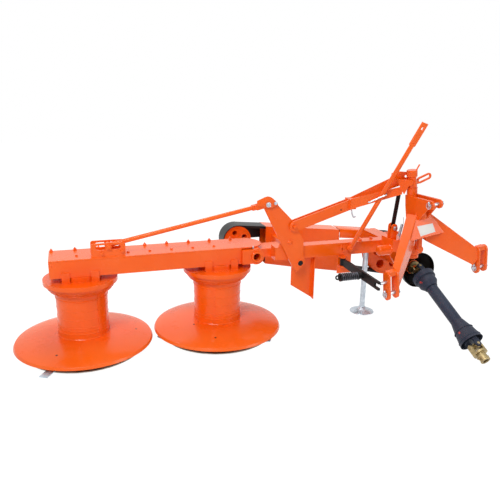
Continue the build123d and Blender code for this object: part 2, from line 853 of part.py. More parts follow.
with BuildPart() as sleeve:
    with Locations(on_post(sleeve_low)):
        Cylinder(radius=sleeve_r, height=sleeve_high - sleeve_low, align=bottom_up)
        Cylinder(radius=post_r + gap, height=mast_height, align=bottom_up, mode=Mode.SUBTRACT)
save(sleeve.part, "mast_sleeve")

legs = []
for name, side in (("near", -1), ("far", 1)):
    leg_top = at(side * leg_root[0], leg_root[1], mast_height - leg_root_drop)
    leg_low = at(side * (half - leg_foot[0]), leg_foot[1], leg_foot[2])
    leg_line = leg_low - leg_top
    across = Vector(leg_line.Y, -leg_line.X, 0)
    with BuildPart() as leg:
        with BuildSketch(Plane(origin=leg_top, x_dir=across, z_dir=leg_line)):
            Rectangle(*leg_root_size)
        with BuildSketch(Plane(origin=leg_low, x_dir=across, z_dir=leg_line)):
            Rectangle(*leg_foot_size)
        loft()
        with BuildSketch(hitch_side(side * ear_outside)):
            Rectangle(reach, reach)
        extrude(amount=-side * half, mode=Mode.SUBTRACT)
        with BuildSketch(hitch_side(side * (half - ear_outside))):
            Rectangle(reach, reach)
        extrude(amount=side * half, mode=Mode.SUBTRACT)
    legs.append(leg.part)
    save(leg.part, name + "_leg")

    with BuildPart() as clevis:
        for inset in (-ear_outside, ear_inside / 2):
            with BuildSketch(hitch_side(side * half + inset)):
                with Locations((0, ear_mid)):
                    SlotOverall(ear_length, ear_w, rotation=90)
                Circle(lower_pin_r + gap, mode=Mode.SUBTRACT)
            extrude(amount=ear_t)
        with BuildSketch(hitch_side(side * half - ear_inside / 2)):
            with Locations((0, strap_high)):
                Rectangle(strap_w, strap_t)
        extrude(amount=ear_inside)
    save(clevis.part, name + "_clevis")

    with BuildPart() as hitch_pin:
        with BuildSketch(hitch_side(side * half - pin_half)):
            Circle(lower_pin_r)
        extrude(amount=2 * pin_half)
    save(hitch_pin.part, name + "_hitch_pin")

with BuildPart() as ears:
    for inset in (-ear_outside, ear_inside / 2):
        with BuildSketch(hitch_side(inset)):
            with BuildLine():
                Polyline(
                    *[(back, mast_height + rise) for back, rise in mast_plate_slope],
                    *[(post_rear + back, mast_height + rise) for back, rise in mast_plate_back],
                    (mast_pin_rear, mast_height + mast_ear_r), (mast_pin_rear, mast_height),
                    close=True,
                )
            make_face()
            with Locations((mast_pin_rear, mast_height)):
                Circle(mast_ear_r)
                Circle(top_pin_r + gap, mode=Mode.SUBTRACT)
        extrude(amount=ear_t)
    with Locations(on_post(bush_low)):
        Cylinder(radius=sleeve_r + gap, height=reach, align=bottom_up, mode=Mode.SUBTRACT)
save(ears.part, "mast_ears")

with BuildPart() as top_pin:
    with BuildSketch(hitch_side(-pin_half)):
        with Locations((mast_pin_rear, mast_height)):
            Circle(top_pin_r)
    extrude(amount=2 * pin_half)
save(top_pin.part, "top_pin")

slope_top = at(0, gusset_top_back, mast_height - gusset_top_drop)
slope_low = at(0, gusset_low_back, mast_height - gusset_low_drop)
slope = (slope_top - slope_low).length
with BuildPart() as gusset:
    with BuildSketch(Plane(origin=slope_top, x_dir=lat, z_dir=lat.cross(slope_top - slope_low))):
        with BuildLine():
            Polyline(
                (-gusset_half_top, 0), (gusset_half_top, 0),
                (gusset_half_low, -slope), (-gusset_half_low, -slope), close=True,
            )
        make_face()
    extrude(amount=gusset_t)
    for carrier in (*legs, ears.part):
        add(carrier, mode=Mode.SUBTRACT)
save(gusset.part, "gusset")

with BuildPart() as side_pin:
    with BuildSketch(hitch_side(-half - ear_outside)):
        with Locations((0, side_pin_high)):
            Circle(side_pin_r)
    extrude(amount=-side_pin_length)
save(side_pin.part, "catch_pin")

with BuildPart() as loop:
    with BuildSketch(hitch_face(post_rear + loop_t / 2)):
        with Locations((loop_out, mast_height + loop_over_mast)):
            SlotOverall(loop_length, loop_width, rotation=loop_turn)
            SlotOverall(
                loop_length - 2 * loop_bar, loop_width - 2 * loop_bar, rotation=loop_turn,
                mode=Mode.SUBTRACT,
            )
        with Locations(((loop_tab[0] + loop_tab[1]) / 2, collar_low + collar_h / 2)):
            Rectangle(loop_tab[1] - loop_tab[0], loop_tab[2])
    extrude(amount=loop_t)
    with Locations(on_post(post_low)):
        Cylinder(radius=collar_r + gap, height=reach, align=bottom_up, mode=Mode.SUBTRACT)
save(loop.part, "lock_loop")

# parking stand
with BuildPart() as stand:
    with BuildSketch(side_plane(stand_y, stand_x)):
        with BuildLine():
            Polyline(*stand_profile, (stand_r, stand_top), (0.0, stand_top), close=True)
        make_face()
    revolve(axis=Axis((stand_x, stand_y, 0), (0, 0, 1)))
save(stand.part, "stand")

# transport strut on its bracket
strut_low = Vector(*strut_foot)
strut_high = Vector(*strut_end)
strut_unit = (strut_high - strut_low).normalized()
strut_square = strut_unit.cross(Vector(1, 0, 0)).cross(strut_unit)
strut_length = (strut_high - strut_low).length
strut_back = front_y - strut_plate[1]
strut_face = Plane(origin=strut_high, x_dir=strut_unit, z_dir=strut_unit.cross(strut_square))
with BuildPart() as strut_bracket:
    with Locations((strut_low.X, front_y - strut_plate[1] / 2, strut_low.Z)):
        Box(*strut_plate)
    with BuildSketch(side_plane(strut_back, strut_low.X, strut_low.Z)):
        Circle(strut_pin_r)
    extrude(amount=strut_pin_length)
save(strut_bracket.part, "strut_bracket")

with BuildPart() as strut:
    with BuildSketch(side_plane(strut_low.Y + strut_eye_w / 2, strut_low.X, strut_low.Z)):
        Circle(strut_eye_r)
    extrude(amount=strut_eye_w)
    with Locations(along(strut_low, strut_high)):
        Cylinder(radius=strut_r, height=strut_length - strut_flat_back + strut_r, align=bottom_up)
    with BuildSketch(strut_face):
        with Locations(((strut_flat_over - strut_flat_back) / 2, 0)):
            Rectangle(strut_flat_over + strut_flat_back, strut_flat_w)
        Circle(strut_hole_r, mode=Mode.SUBTRACT)
    extrude(amount=strut_flat_t / 2, both=True)
    with BuildSketch(side_plane(front_y, strut_low.X, strut_low.Z)):
        Circle(strut_pin_r + run)
    extrude(amount=strut_plate[1] + strut_pin_length, mode=Mode.SUBTRACT)
    with BuildSketch(side_plane(strut_back)):
        with Locations((strut_low.X, strut_low.Z)):
            Rectangle(reach, strut_plate[2] + 2 * strut_eye_r)
    extrude(amount=-strut_eye_w, mode=Mode.SUBTRACT)
save(strut.part, "strut")

# catch: bracket on the front beam, bar with a forked hook, side spring
catch_root = Vector(*catch_place)
catch_hook = at(-half - ear_outside - catch_short, 0, side_pin_high - catch_drop)
catch_unit = (catch_hook - catch_root).normalized()
catch_side = Vector(catch_unit.Y, -catch_unit.X, 0).normalized()
catch_length = (catch_hook - catch_root).length


def on_catch(s):
    """A plane square to the catch bar: sketch x is level, sketch y is up the bar's depth."""
    return Plane(origin=catch_root + catch_unit * s, x_dir=catch_side, z_dir=catch_unit)


with BuildPart() as catch_bracket:
    for drop in (-catch_ear_inside / 2 - catch_ear_t, catch_ear_inside / 2):
        with BuildSketch(Plane.XY.offset(catch_root.Z + drop)):
            with Locations((catch_root.X, catch_root.Y)):
                Circle(catch_ear_r)
            with Locations((catch_root.X, (catch_root.Y + front_y) / 2)):
                Rectangle(2 * catch_ear_r, front_y - catch_root.Y)
        extrude(amount=catch_ear_t)
    with Locations(catch_root):
        Cylinder(radius=catch_pin_r, height=catch_ear_inside + 2 * catch_ear_t)
    with Locations((catch_strap_x, front_y + catch_strap_t / 2, catch_strap_low)):
        Box(catch_strap_w, catch_strap_t, front_bottom - catch_strap_low, align=bottom_up)
save(catch_bracket.part, "catch_bracket")

with BuildPart() as catch:
    with Locations(catch_root):
        Cylinder(radius=catch_eye_r, height=catch_eye_h)
    with BuildSketch(on_catch(catch_pin_r)):
        Rectangle(catch_t, catch_root_h)
    with BuildSketch(on_catch(catch_taper)):
        Rectangle(catch_t, catch_h)
    loft()
    with BuildSketch(on_catch(catch_taper)):
        Rectangle(catch_t, catch_h)
    extrude(amount=catch_length - catch_taper + catch_nose)
    with BuildSketch(on_catch(catch_length - catch_mouth)):
        Rectangle(reach, catch_mouth)
    extrude(amount=reach, mode=Mode.SUBTRACT)
    with Locations(catch_root):
        Cylinder(radius=catch_pin_r + run, height=2 * catch_eye_h, mode=Mode.SUBTRACT)
save(catch.part, "catch_bar")

spring_foot = catch_root + catch_unit * spring_at + catch_side * (catch_t / 2)
with BuildPart() as catch_spring:
    with Locations(Plane(origin=spring_foot, z_dir=catch_side)):
        Cylinder(radius=spring_r, height=spring_length, align=bottom_up)
        Cylinder(radius=spring_rod_r, height=spring_rod_length, align=bottom_up)
save(catch_spring.part, "catch_spring")

# drive shaft: yokes, crosses, two guarded halves and the guard bowl
first_joint = Vector(input_x, first_joint_y, input_z)
shaft_unit = Vector(*shaft_aim).normalized()
shaft_up = shaft_unit.cross(Vector(1, 0, 0)).normalized()
shaft_side = shaft_up.cross(shaft_unit)
second_joint = first_joint + shaft_unit * joint_span
fork_out = fork_in + fork_ear_t
rear_guard_end = rear_guard[-1][1]
front_guard = tuple((r, joint_span - back) for r, back in front_guard_back)
inner_tube_end = joint_span - inner_tube_short
outer_tube_end = joint_span - outer_tube_short
outer_tube_floor = joint_span - outer_tube_floor_back
yoke_end = joint_span + yoke_length


def on_shaft(s, forward=1):
    """A plane square to the drive shaft, s from its first cross."""
    return Plane(origin=first_joint + shaft_unit * s, x_dir=shaft_side, z_dir=shaft_unit * forward)


def shaft_section(s):
    """A plane through the drive shaft: sketch x is the radius, sketch y runs on from s."""
    return Plane(origin=first_joint + shaft_unit * s, x_dir=shaft_up, z_dir=shaft_side)


def yoke_ears(centre, pins, run_out):
    """Two bored ears on the pins' axis, with the disc that joins them."""
    with BuildPart() as piece:
        for shift in (-fork_out, fork_in):
            with BuildSketch(Plane(origin=centre + pins * shift, x_dir=run_out, z_dir=pins)):
                Circle(fork_ear_r)
                with Locations(((fork_reach + fork_disc) / 2, 0)):
                    Rectangle(fork_reach + fork_disc, 2 * fork_ear_r)
                Circle(cross_r + run, mode=Mode.SUBTRACT)
            extrude(amount=fork_ear_t)
        with Locations(Plane(origin=centre + run_out * fork_reach, z_dir=run_out)):
            Cylinder(radius=fork_out, height=fork_disc, align=bottom_up)
    return piece.part


def cone_wall(outer):
    """A guard cone's wall, from its outer radii and distances: a step keeps its thickness too."""
    inner = [
        (r - guard_wall, s - guard_wall if s in [other for n, (_, other) in enumerate(outer) if n != i] else s)
        for i, (r, s) in enumerate(outer)
    ]
    return (*outer, *reversed(inner))


cross_rows = (
    ("rear_cross", first_joint, Vector(1, 0, 0)),
    ("front_cross", second_joint, shaft_side),
)
for name, centre, across in cross_rows:
    with BuildPart() as cross:
        for pins in (across, shaft_up):
            with Locations(Plane(origin=centre, x_dir=shaft_up.cross(across), z_dir=pins)):
                Cylinder(radius=cross_r, height=2 * fork_out)
        with Locations(Plane(origin=centre, x_dir=across, z_dir=shaft_up)):
            Box(cross_block, cross_block, cross_block)
    save(cross.part, name)

inner_ears = yoke_ears(first_joint, Vector(1, 0, 0), Vector(0, 1, 0))
rear_ears = yoke_ears(first_joint, shaft_up, shaft_unit)
front_ears = yoke_ears(second_joint, shaft_up, shaft_unit * -1.0)
end_ears = yoke_ears(second_joint, shaft_side, shaft_unit)

with BuildPart() as inner_yoke:
    add(inner_ears)
    with BuildSketch(side_plane(inner_yoke_back, input_x, input_z)):
        Circle(fork_out)
    extrude(amount=inner_yoke_back - first_joint.Y - fork_reach)
    with BuildSketch(side_plane(inner_yoke_back, input_x, input_z)):
        Circle(input_shaft_r + run)
    extrude(amount=inner_yoke_back - first_joint.Y, mode=Mode.SUBTRACT)
save(inner_yoke.part, "inner_yoke")

with BuildPart() as bowl:
    with BuildSketch(Plane(origin=(input_x, 0, input_z), x_dir=(1, 0, 0), z_dir=(0, 0, 1))):
        with BuildLine():
            Polyline(*bowl_profile, close=True)
        make_face()
    revolve(axis=Axis((input_x, 0, input_z), (0, 1, 0)))
save(bowl.part, "shaft_bowl")

shaft_line = Axis(first_joint, shaft_unit)
with BuildPart() as rear_half:
    add(rear_ears)
    with Locations(on_shaft(fork_reach)):
        Cylinder(radius=yoke_neck_r, height=inner_tube_end - fork_reach, align=bottom_up)
    with Locations(on_shaft(rear_guard_end)):
        Cylinder(radius=guard_neck_r, height=guard_collar, align=bottom_up)
        Cylinder(radius=inner_tube_r, height=inner_tube_end - rear_guard_end, align=bottom_up)
    with BuildSketch(shaft_section(0)):
        with BuildLine():
            Polyline(*cone_wall(rear_guard), close=True)
        make_face()
    revolve(axis=shaft_line)
save(rear_half.part, "shaft_rear_half")

with BuildPart() as front_half:
    add(front_ears)
    with Locations(on_shaft(outer_tube_start)):
        Cylinder(radius=outer_tube_r, height=outer_tube_end - outer_tube_start, align=bottom_up)
        Cylinder(
            radius=outer_tube_bore, height=outer_tube_floor - outer_tube_start,
            align=bottom_up, mode=Mode.SUBTRACT,
        )
    with Locations(on_shaft(outer_tube_floor)):
        Cylinder(radius=yoke_neck_r, height=joint_span - fork_reach - outer_tube_floor, align=bottom_up)
    with BuildSketch(shaft_section(0)):
        with BuildLine():
            Polyline(*cone_wall(front_guard), close=True)
        make_face()
    revolve(axis=shaft_line)
save(front_half.part, "shaft_front_half")

with BuildPart() as end_yoke:
    add(end_ears)
    with Locations(on_shaft(joint_span + fork_reach)):
        Cylinder(radius=yoke_hub_r, height=yoke_end - joint_span - fork_reach, align=bottom_up)
        Cylinder(radius=yoke_bore_r, height=reach, align=bottom_up, mode=Mode.SUBTRACT)
save(end_yoke.part, "end_yoke")
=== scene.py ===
# Drum mower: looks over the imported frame. Metres, same frame as the solids.
import json
import math
import bmesh
import bpy
from mathutils import Matrix, Vector


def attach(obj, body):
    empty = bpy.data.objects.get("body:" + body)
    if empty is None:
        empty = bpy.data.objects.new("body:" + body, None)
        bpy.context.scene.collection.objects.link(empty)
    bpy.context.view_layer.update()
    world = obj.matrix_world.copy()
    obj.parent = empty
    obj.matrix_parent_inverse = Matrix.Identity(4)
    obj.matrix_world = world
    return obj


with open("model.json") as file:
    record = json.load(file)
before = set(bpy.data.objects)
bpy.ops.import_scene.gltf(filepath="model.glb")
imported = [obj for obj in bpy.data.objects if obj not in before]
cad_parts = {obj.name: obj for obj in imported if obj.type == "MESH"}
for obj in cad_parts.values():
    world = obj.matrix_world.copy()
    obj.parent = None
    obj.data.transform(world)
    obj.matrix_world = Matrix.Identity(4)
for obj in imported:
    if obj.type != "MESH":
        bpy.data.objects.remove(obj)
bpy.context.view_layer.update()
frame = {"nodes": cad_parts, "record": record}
nodes = frame["nodes"]

X = Vector((1, 0, 0))
Y = Vector((0, 1, 0))
Z = Vector((0, 0, 1))


def place_camera():
    """A camera at the photograph's viewing angle."""
    sensor_width = 36.0
    focal_length = 40.32
    camera_place = (-0.0243, -3.2363, 1.5646)
    yaw = math.radians(18.12)
    pitch = math.radians(16.04)
    roll = math.radians(0.89)
    ahead = Vector((math.sin(yaw) * math.cos(pitch), math.cos(yaw) * math.cos(pitch), -math.sin(pitch)))
    right = Vector((math.cos(yaw), -math.sin(yaw), 0))
    upward = right.cross(ahead)
    right_rolled = right * math.cos(roll) + upward * math.sin(roll)
    upward_rolled = upward * math.cos(roll) - right * math.sin(roll)
    lens = bpy.data.cameras.new("photo_camera")
    lens.lens = focal_length
    lens.sensor_width = sensor_width
    lens.clip_end = 100.0
    camera = bpy.data.objects.new("photo_camera", lens)
    bpy.context.scene.collection.objects.link(camera)
    turn = Matrix((right_rolled, upward_rolled, -ahead)).transposed().to_4x4()
    camera.matrix_world = Matrix.Translation(camera_place) @ turn
    bpy.context.scene.camera = camera


place_camera()
bpy.context.scene.view_settings.view_transform = "Standard"


# shared effects
def new_group(name, inputs, outputs):
    """An empty node group; inputs give name, kind and value, outputs name and kind."""
    group = bpy.data.node_groups.new(name, "ShaderNodeTree")
    for label, kind, value in inputs:
        socket = group.interface.new_socket(label, in_out="INPUT", socket_type=kind)
        socket.default_value = value
    for label, kind in outputs:
        group.interface.new_socket(label, in_out="OUTPUT", socket_type=kind)
    enter = group.nodes.new("NodeGroupInput")
    leave = group.nodes.new("NodeGroupOutput")
    return group, enter, leave


def link(tree, source, target):
    tree.links.new(source, target)


def noise_of(tree, where, scale, detail=3.0, rough=0.5):
    node = tree.nodes.new("ShaderNodeTexNoise")
    node.inputs["Scale"].default_value = scale
    node.inputs["Detail"].default_value = detail
    node.inputs["Roughness"].default_value = rough
    link(tree, where, node.inputs["Vector"])
    return node.outputs["Fac"]


def range_of(tree, value, low, high, to_low=0.0, to_high=1.0):
    node = tree.nodes.new("ShaderNodeMapRange")
    node.inputs["From Min"].default_value = low
    node.inputs["From Max"].default_value = high
    node.inputs["To Min"].default_value = to_low
    node.inputs["To Max"].default_value = to_high
    link(tree, value, node.inputs["Value"])
    return node.outputs["Result"]


def maths(tree, operation, a, b):
    node = tree.nodes.new("ShaderNodeMath")
    node.operation = operation
    for socket, value in zip(node.inputs, (a, b)):
        if isinstance(value, (int, float)):
            socket.default_value = value
        else:
            link(tree, value, socket)
    return node.outputs[0]


def mix_colour(tree, share, a, b):
    """Mixes two colours, each a socket or its red, green and blue."""
    node = tree.nodes.new("ShaderNodeMix")
    node.data_type = "RGBA"
    for socket, value in ((node.inputs[0], share), (node.inputs[6], a), (node.inputs[7], b)):
        if isinstance(value, tuple):
            socket.default_value = (*value, 1)
        else:
            link(tree, value, socket)
    return node.outputs[2]


def make_edge_wear():
    """Mask that is 1 on convex edges, broken up by noise."""
    group, enter, leave = new_group(
        "edge_wear",
        (
            ("Where", "NodeSocketVector", (0, 0, 0)), ("Width", "NodeSocketFloat", 0.002),
            ("Break Up", "NodeSocketFloat", 60.0),
        ),
        (("Mask", "NodeSocketFloat"),),
    )
    rounded = group.nodes.new("ShaderNodeBevel")
    rounded.samples = 4
    link(group, enter.outputs["Width"], rounded.inputs["Radius"])
    plain = group.nodes.new("ShaderNodeNewGeometry")
    facing = group.nodes.new("ShaderNodeVectorMath")
    facing.operation = "DOT_PRODUCT"
    link(group, rounded.outputs[0], facing.inputs[0])
    link(group, plain.outputs["Normal"], facing.inputs[1])
    bend = range_of(group, facing.outputs["Value"], 0.985, 0.82)
    spots = group.nodes.new("ShaderNodeTexNoise")
    link(group, enter.outputs["Where"], spots.inputs["Vector"])
    link(group, enter.outputs["Break Up"], spots.inputs["Scale"])
    chips = range_of(group, spots.outputs["Fac"], 0.45, 0.62)
    link(group, maths(group, "MULTIPLY", bend, chips), leave.inputs["Mask"])
    return group


def make_grime():
    """Dull, soft patches: a large noise broken by a fine one, stronger near the floor."""
    group, enter, leave = new_group(
        "grime",
        (
            ("Where", "NodeSocketVector", (0, 0, 0)), ("Scale", "NodeSocketFloat", 4.0),
            ("Top", "NodeSocketFloat", 0.25), ("Low Share", "NodeSocketFloat", 0.5),
        ),
        (("Mask", "NodeSocketFloat"),),
    )
    large = group.nodes.new("ShaderNodeTexNoise")
    large.inputs["Detail"].default_value = 5.0
    link(group, enter.outputs["Where"], large.inputs["Vector"])
    link(group, enter.outputs["Scale"], large.inputs["Scale"])
    fine = noise_of(group, enter.outputs["Where"], 220.0, 2.0)
    split = group.nodes.new("ShaderNodeSeparateXYZ")
    link(group, enter.outputs["Where"], split.inputs[0])
    low = group.nodes.new("ShaderNodeMapRange")
    link(group, split.outputs["Z"], low.inputs["Value"])
    low.inputs["From Min"].default_value = 0.0
    low.inputs["To Min"].default_value = 1.0
    low.inputs["To Max"].default_value = 0.0
    link(group, enter.outputs["Top"], low.inputs["From Max"])
    patch = range_of(group, large.outputs["Fac"], 0.42, 0.72)
    near_floor = maths(group, "MULTIPLY", low.outputs["Result"], enter.outputs["Low Share"])
    both = maths(group, "ADD", maths(group, "MULTIPLY", patch, 0.5), near_floor)
    broken = range_of(group, fine, 0.3, 0.7, 0.5, 1.0)
    link(group, maths(group, "MULTIPLY", both, broken), leave.inputs["Mask"])
    return group


def make_grain():
    """Stretched noise for rolled, drawn or turned metal."""
    group, enter, leave = new_group(
        "grain",
        (("Where", "NodeSocketVector", (0, 0, 0)), ("Stretch", "NodeSocketVector", (20, 20, 400))),
        (("Value", "NodeSocketFloat"),),
    )
    scaled = group.nodes.new("ShaderNodeVectorMath")
    scaled.operation = "MULTIPLY"
    link(group, enter.outputs["Where"], scaled.inputs[0])
    link(group, enter.outputs["Stretch"], scaled.inputs[1])
    link(group, noise_of(group, scaled.outputs[0], 1.0, 4.0, 0.6), leave.inputs["Value"])
    return group


edge_wear = make_edge_wear()
grime = make_grime()
grain = make_grain()


def new_material(name):
    material = bpy.data.materials.new(name)
    material.use_nodes = True
    tree = material.node_tree
    shader = tree.nodes["Principled BSDF"]
    where = tree.nodes.new("ShaderNodeTexCoord").outputs["Object"]
    return material, tree, shader, where


def use_group(tree, group, where, **values):
    node = tree.nodes.new("ShaderNodeGroup")
    node.node_tree = group
    link(tree, where, node.inputs["Where"])
    for label, value in values.items():
        node.inputs[label.replace("_", " ")].default_value = value
    return node


def bump_from(tree, shader, height, strength, distance):
    node = tree.nodes.new("ShaderNodeBump")
    node.inputs["Strength"].default_value = strength
    node.inputs["Distance"].default_value = distance
    link(tree, height, node.inputs["Height"])
    link(tree, node.outputs["Normal"], shader.inputs["Normal"])


def share_of(tree, group, share):
    """A group's mask, weakened to a share."""
    return maths(tree, "MULTIPLY", group.outputs["Mask"], share)


def paint(name, colour, deep, worn, rough=0.24, coat=0.22, dust=0.16):
    """Glossy sprayed paint: slight tone changes, orange peel, duller and dusty patches, chipped edges."""
    dust_colour = (0.42, 0.30, 0.22)
    material, tree, shader, where = new_material(name)
    tone = range_of(tree, noise_of(tree, where, 2.6, 3.0), 0.3, 0.7)
    base = mix_colour(tree, tone, deep, colour)
    dirt = use_group(tree, grime, where, Scale=5.0, Top=0.22, Low_Share=0.35)
    dusty = mix_colour(tree, share_of(tree, dirt, dust), base, dust_colour)
    chips = use_group(tree, edge_wear, where, Width=0.0022, Break_Up=70.0)
    chipped = mix_colour(tree, share_of(tree, chips, 0.55), dusty, worn)
    link(tree, chipped, shader.inputs["Base Color"])
    link(tree, maths(tree, "ADD", share_of(tree, dirt, 0.22), rough), shader.inputs["Roughness"])
    shader.inputs["Coat Weight"].default_value = coat
    shader.inputs["Coat Roughness"].default_value = 0.12
    shader.inputs["Specular IOR Level"].default_value = 0.20
    bump_from(tree, shader, noise_of(tree, where, 320.0, 2.0), 0.10, 0.0006)
    return material


def metal(name, colour, dark, rough=0.32, stretch=(60, 60, 60), strength=0.12):
    """Plated or bare steel: drawn grain, cloudy tone, stained patches."""
    material, tree, shader, where = new_material(name)
    lines = use_group(tree, grain, where, Stretch=stretch).outputs["Value"]
    cloud = range_of(tree, noise_of(tree, where, 38.0, 4.0), 0.35, 0.68)
    tone = maths(tree, "ADD", maths(tree, "MULTIPLY", cloud, 0.65), maths(tree, "MULTIPLY", lines, 0.35))
    stain = use_group(tree, grime, where, Scale=14.0, Top=0.2, Low_Share=0.3)
    stained = mix_colour(tree, share_of(tree, stain, 0.3), mix_colour(tree, tone, dark, colour), dark)
    link(tree, stained, shader.inputs["Base Color"])
    shader.inputs["Metallic"].default_value = 0.9
    link(tree, maths(tree, "ADD", share_of(tree, stain, 0.25), rough), shader.inputs["Roughness"])
    bump_from(tree, shader, lines, strength, 0.0008)
    return material


def moulded(name, colour, pale, rough=0.55, scale=160.0, strength=0.25, worn=0.35, dust=0.12):
    """Moulded plastic or rubber: fine pimpled surface, paler scuffed edges, dusty low parts."""
    dust_colour = (0.35, 0.31, 0.27)
    material, tree, shader, where = new_material(name)
    tone = range_of(tree, noise_of(tree, where, 7.0, 4.0), 0.35, 0.7)
    base = mix_colour(tree, maths(tree, "MULTIPLY", tone, 0.35), colour, pale)
    scuff = use_group(tree, edge_wear, where, Width=0.003, Break_Up=45.0)
    dirt = use_group(tree, grime, where, Scale=9.0, Top=0.3, Low_Share=0.4)
    marked = mix_colour(tree, share_of(tree, scuff, worn), base, pale)
    dusty = mix_colour(tree, share_of(tree, dirt, dust), marked, dust_colour)
    link(tree, dusty, shader.inputs["Base Color"])
    link(tree, maths(tree, "ADD", share_of(tree, dirt, 0.2), rough), shader.inputs["Roughness"])
    shader.inputs["Specular IOR Level"].default_value = 0.24
    bump_from(tree, shader, noise_of(tree, where, scale, 3.0), strength, 0.0007)
    return material


orange = paint("orange_paint_finish", (0.95, 0.135, 0.004), (0.88, 0.105, 0.002), (1.0, 0.34, 0.14))
black_enamel = paint(
    "black_enamel", (0.008, 0.008, 0.009), (0.005, 0.005, 0.006), (0.04, 0.037, 0.034),
    rough=0.42, coat=0.02, dust=0.03,
)
zinc = metal("zinc_plate", (0.70, 0.76, 0.82), (0.42, 0.48, 0.54), rough=0.30, stretch=(30, 30, 300))
blade_steel = metal("blade_steel", (0.62, 0.74, 0.82), (0.40, 0.52, 0.60), rough=0.34, stretch=(200, 30, 30))
worn_steel = metal("skid_steel", (0.50, 0.42, 0.35), (0.20, 0.14, 0.10), rough=0.45)
spring_steel = metal("dark_spring_steel", (0.15, 0.16, 0.19), (0.03, 0.03, 0.035), rough=0.30)
yellow_zinc = metal("yellow_passivate", (0.56, 0.44, 0.22), (0.24, 0.18, 0.09), rough=0.38, strength=0.3)
belt_rubber = moulded("belt_rubber_finish", (0.016, 0.016, 0.017), (0.07, 0.068, 0.066), rough=0.62)
black_cover = moulded(
    "black_cover_finish", (0.007, 0.007, 0.0075), (0.022, 0.022, 0.024), rough=0.36, dust=0.03,
)
slate_plastic = moulded(
    "slate_guard_plastic", (0.018, 0.027, 0.052), (0.058, 0.075, 0.115), rough=0.46, scale=90.0,
)
red_plastic = moulded("red_latch_plastic", (0.45, 0.03, 0.03), (0.7, 0.2, 0.18), rough=0.4)
label_white = moulded(
    "blank_label", (0.80, 0.80, 0.76), (0.90, 0.90, 0.88), rough=0.35, strength=0.04, worn=0.1,
)

finish_of_slot = {
    "orange_paint": orange, "worn_steel": worn_steel, "knife_steel": blade_steel,
    "black_cover": black_cover, "belt_rubber": belt_rubber, "black_paint": black_enamel,
    "zinc_steel": zinc, "guard_plastic": slate_plastic, "yellow_zinc": yellow_zinc,
}


def dress_solids():
    """The solids keep their shapes and get their finishes, softened edges and smooth curves."""
    edge_width = 0.0014
    edge_from = math.radians(34)
    flat_within = math.radians(0.4)
    for entry in frame["record"]["subparts"]:
        solid = nodes[entry["node"]]
        for place in solid.material_slots:
            place.material = finish_of_slot[entry["material_slot"]]
        for face in solid.data.polygons:
            face.use_smooth = True
        join = solid.modifiers.new("join", "WELD")
        join.merge_threshold = 0.00002
        flatten = solid.modifiers.new("flatten", "DECIMATE")
        flatten.decimate_type = "DISSOLVE"
        flatten.angle_limit = flat_within
        soften = solid.modifiers.new("soften", "BEVEL")
        soften.width = edge_width
        soften.segments = 2
        soften.limit_method = "ANGLE"
        soften.angle_limit = edge_from
        soften.miter_outer = "MITER_ARC"
        shade = solid.modifiers.new("shade", "WEIGHTED_NORMAL")
        shade.keep_sharp = False
        shade.weight = 60


dress_solids()


# places and sizes repeated from the part's source
outer_drum_x = 0.0
inner_drum_x = 0.82
drum_floor = 0.168
cover_top = 0.638
beam_front = -0.110
bracket_front = -0.104
front_beam_front = -0.158
front_beam_top = 0.632
crank_front = -0.170
boom_front = -0.186
hinge_x = 1.035
hinge_z = 0.580
input_x = 2.208
input_z = 0.393
stand_x = 1.967
stand_y = 0.174
latch_end = Vector((1.800, -0.250, 0.594))
hitch = Vector((2.0487, -0.5406, 0.4774))
hitch_turn = math.radians(7.0)
hitch_lean = math.radians(6.75)
half_span = 0.3415
mast_height = 0.460
post_back = 0.225
across = Vector((
    math.cos(hitch_turn) * math.cos(hitch_lean),
    math.sin(hitch_turn) * math.cos(hitch_lean),
    math.sin(hitch_lean),
))
behind = Vector((-math.sin(hitch_turn), math.cos(hitch_turn), 0))
above = across.cross(behind)
boom_bend = Vector((1.635, -0.164, 0.890))
first_joint = Vector((2.208, -0.120, 0.393))
shaft_line = Vector((55.0, -645.0, -350.0)).normalized()
shaft_up = shaft_line.cross(X).normalized()
shaft_side = shaft_up.cross(shaft_line)
joint_span = 0.665


def at_hitch(side, back, high):
    """A point in the headstock's own frame, from the middle between the lower pins."""
    return hitch + across * side + behind * back + above * high


boom_far = at_hitch(0, post_back, 0.555)
boom_run = Vector((boom_far.x - boom_bend.x, boom_far.y - boom_bend.y, 0))
boom_ahead = boom_run.normalized()
boom_side = Vector((boom_ahead.y, -boom_ahead.x, 0))


def at_boom(along, out, high):
    """A point beside the boom's outer half: along it from the bend, out to the near side, up."""
    return boom_bend + boom_ahead * along + boom_side * out + Z * high


# small shapes, each made along Z and then carried to its place
def aim(place, facing, twist=0.0):
    """Carries a shape made along Z to a place, looking along facing."""
    turn = Vector(facing).normalized().to_track_quat("Z", "Y").to_matrix().to_4x4()
    return Matrix.Translation(place) @ turn @ Matrix.Rotation(twist, 4, "Z")


def basis(place, along_x, along_y, along_z):
    """Carries a shape to a place with its three axes given."""
    turn = Matrix((along_x, along_y, along_z)).transposed().to_4x4()
    return Matrix.Translation(place) @ turn


def add_into(target, part, where=Matrix.Identity(4)):
    """Carries one shape to its place and joins it to another."""
    part.transform(where)
    scrap = bpy.data.meshes.new("scrap")
    part.to_mesh(scrap)
    part.free()
    target.from_mesh(scrap)
    bpy.data.meshes.remove(scrap)


def round_edges(shape, edges, width):
    bmesh.ops.bevel(
        shape, geom=list(edges), offset=width, offset_type="OFFSET", segments=2,
        profile=0.5, affect="EDGES", material=-1, clamp_overlap=True,
    )


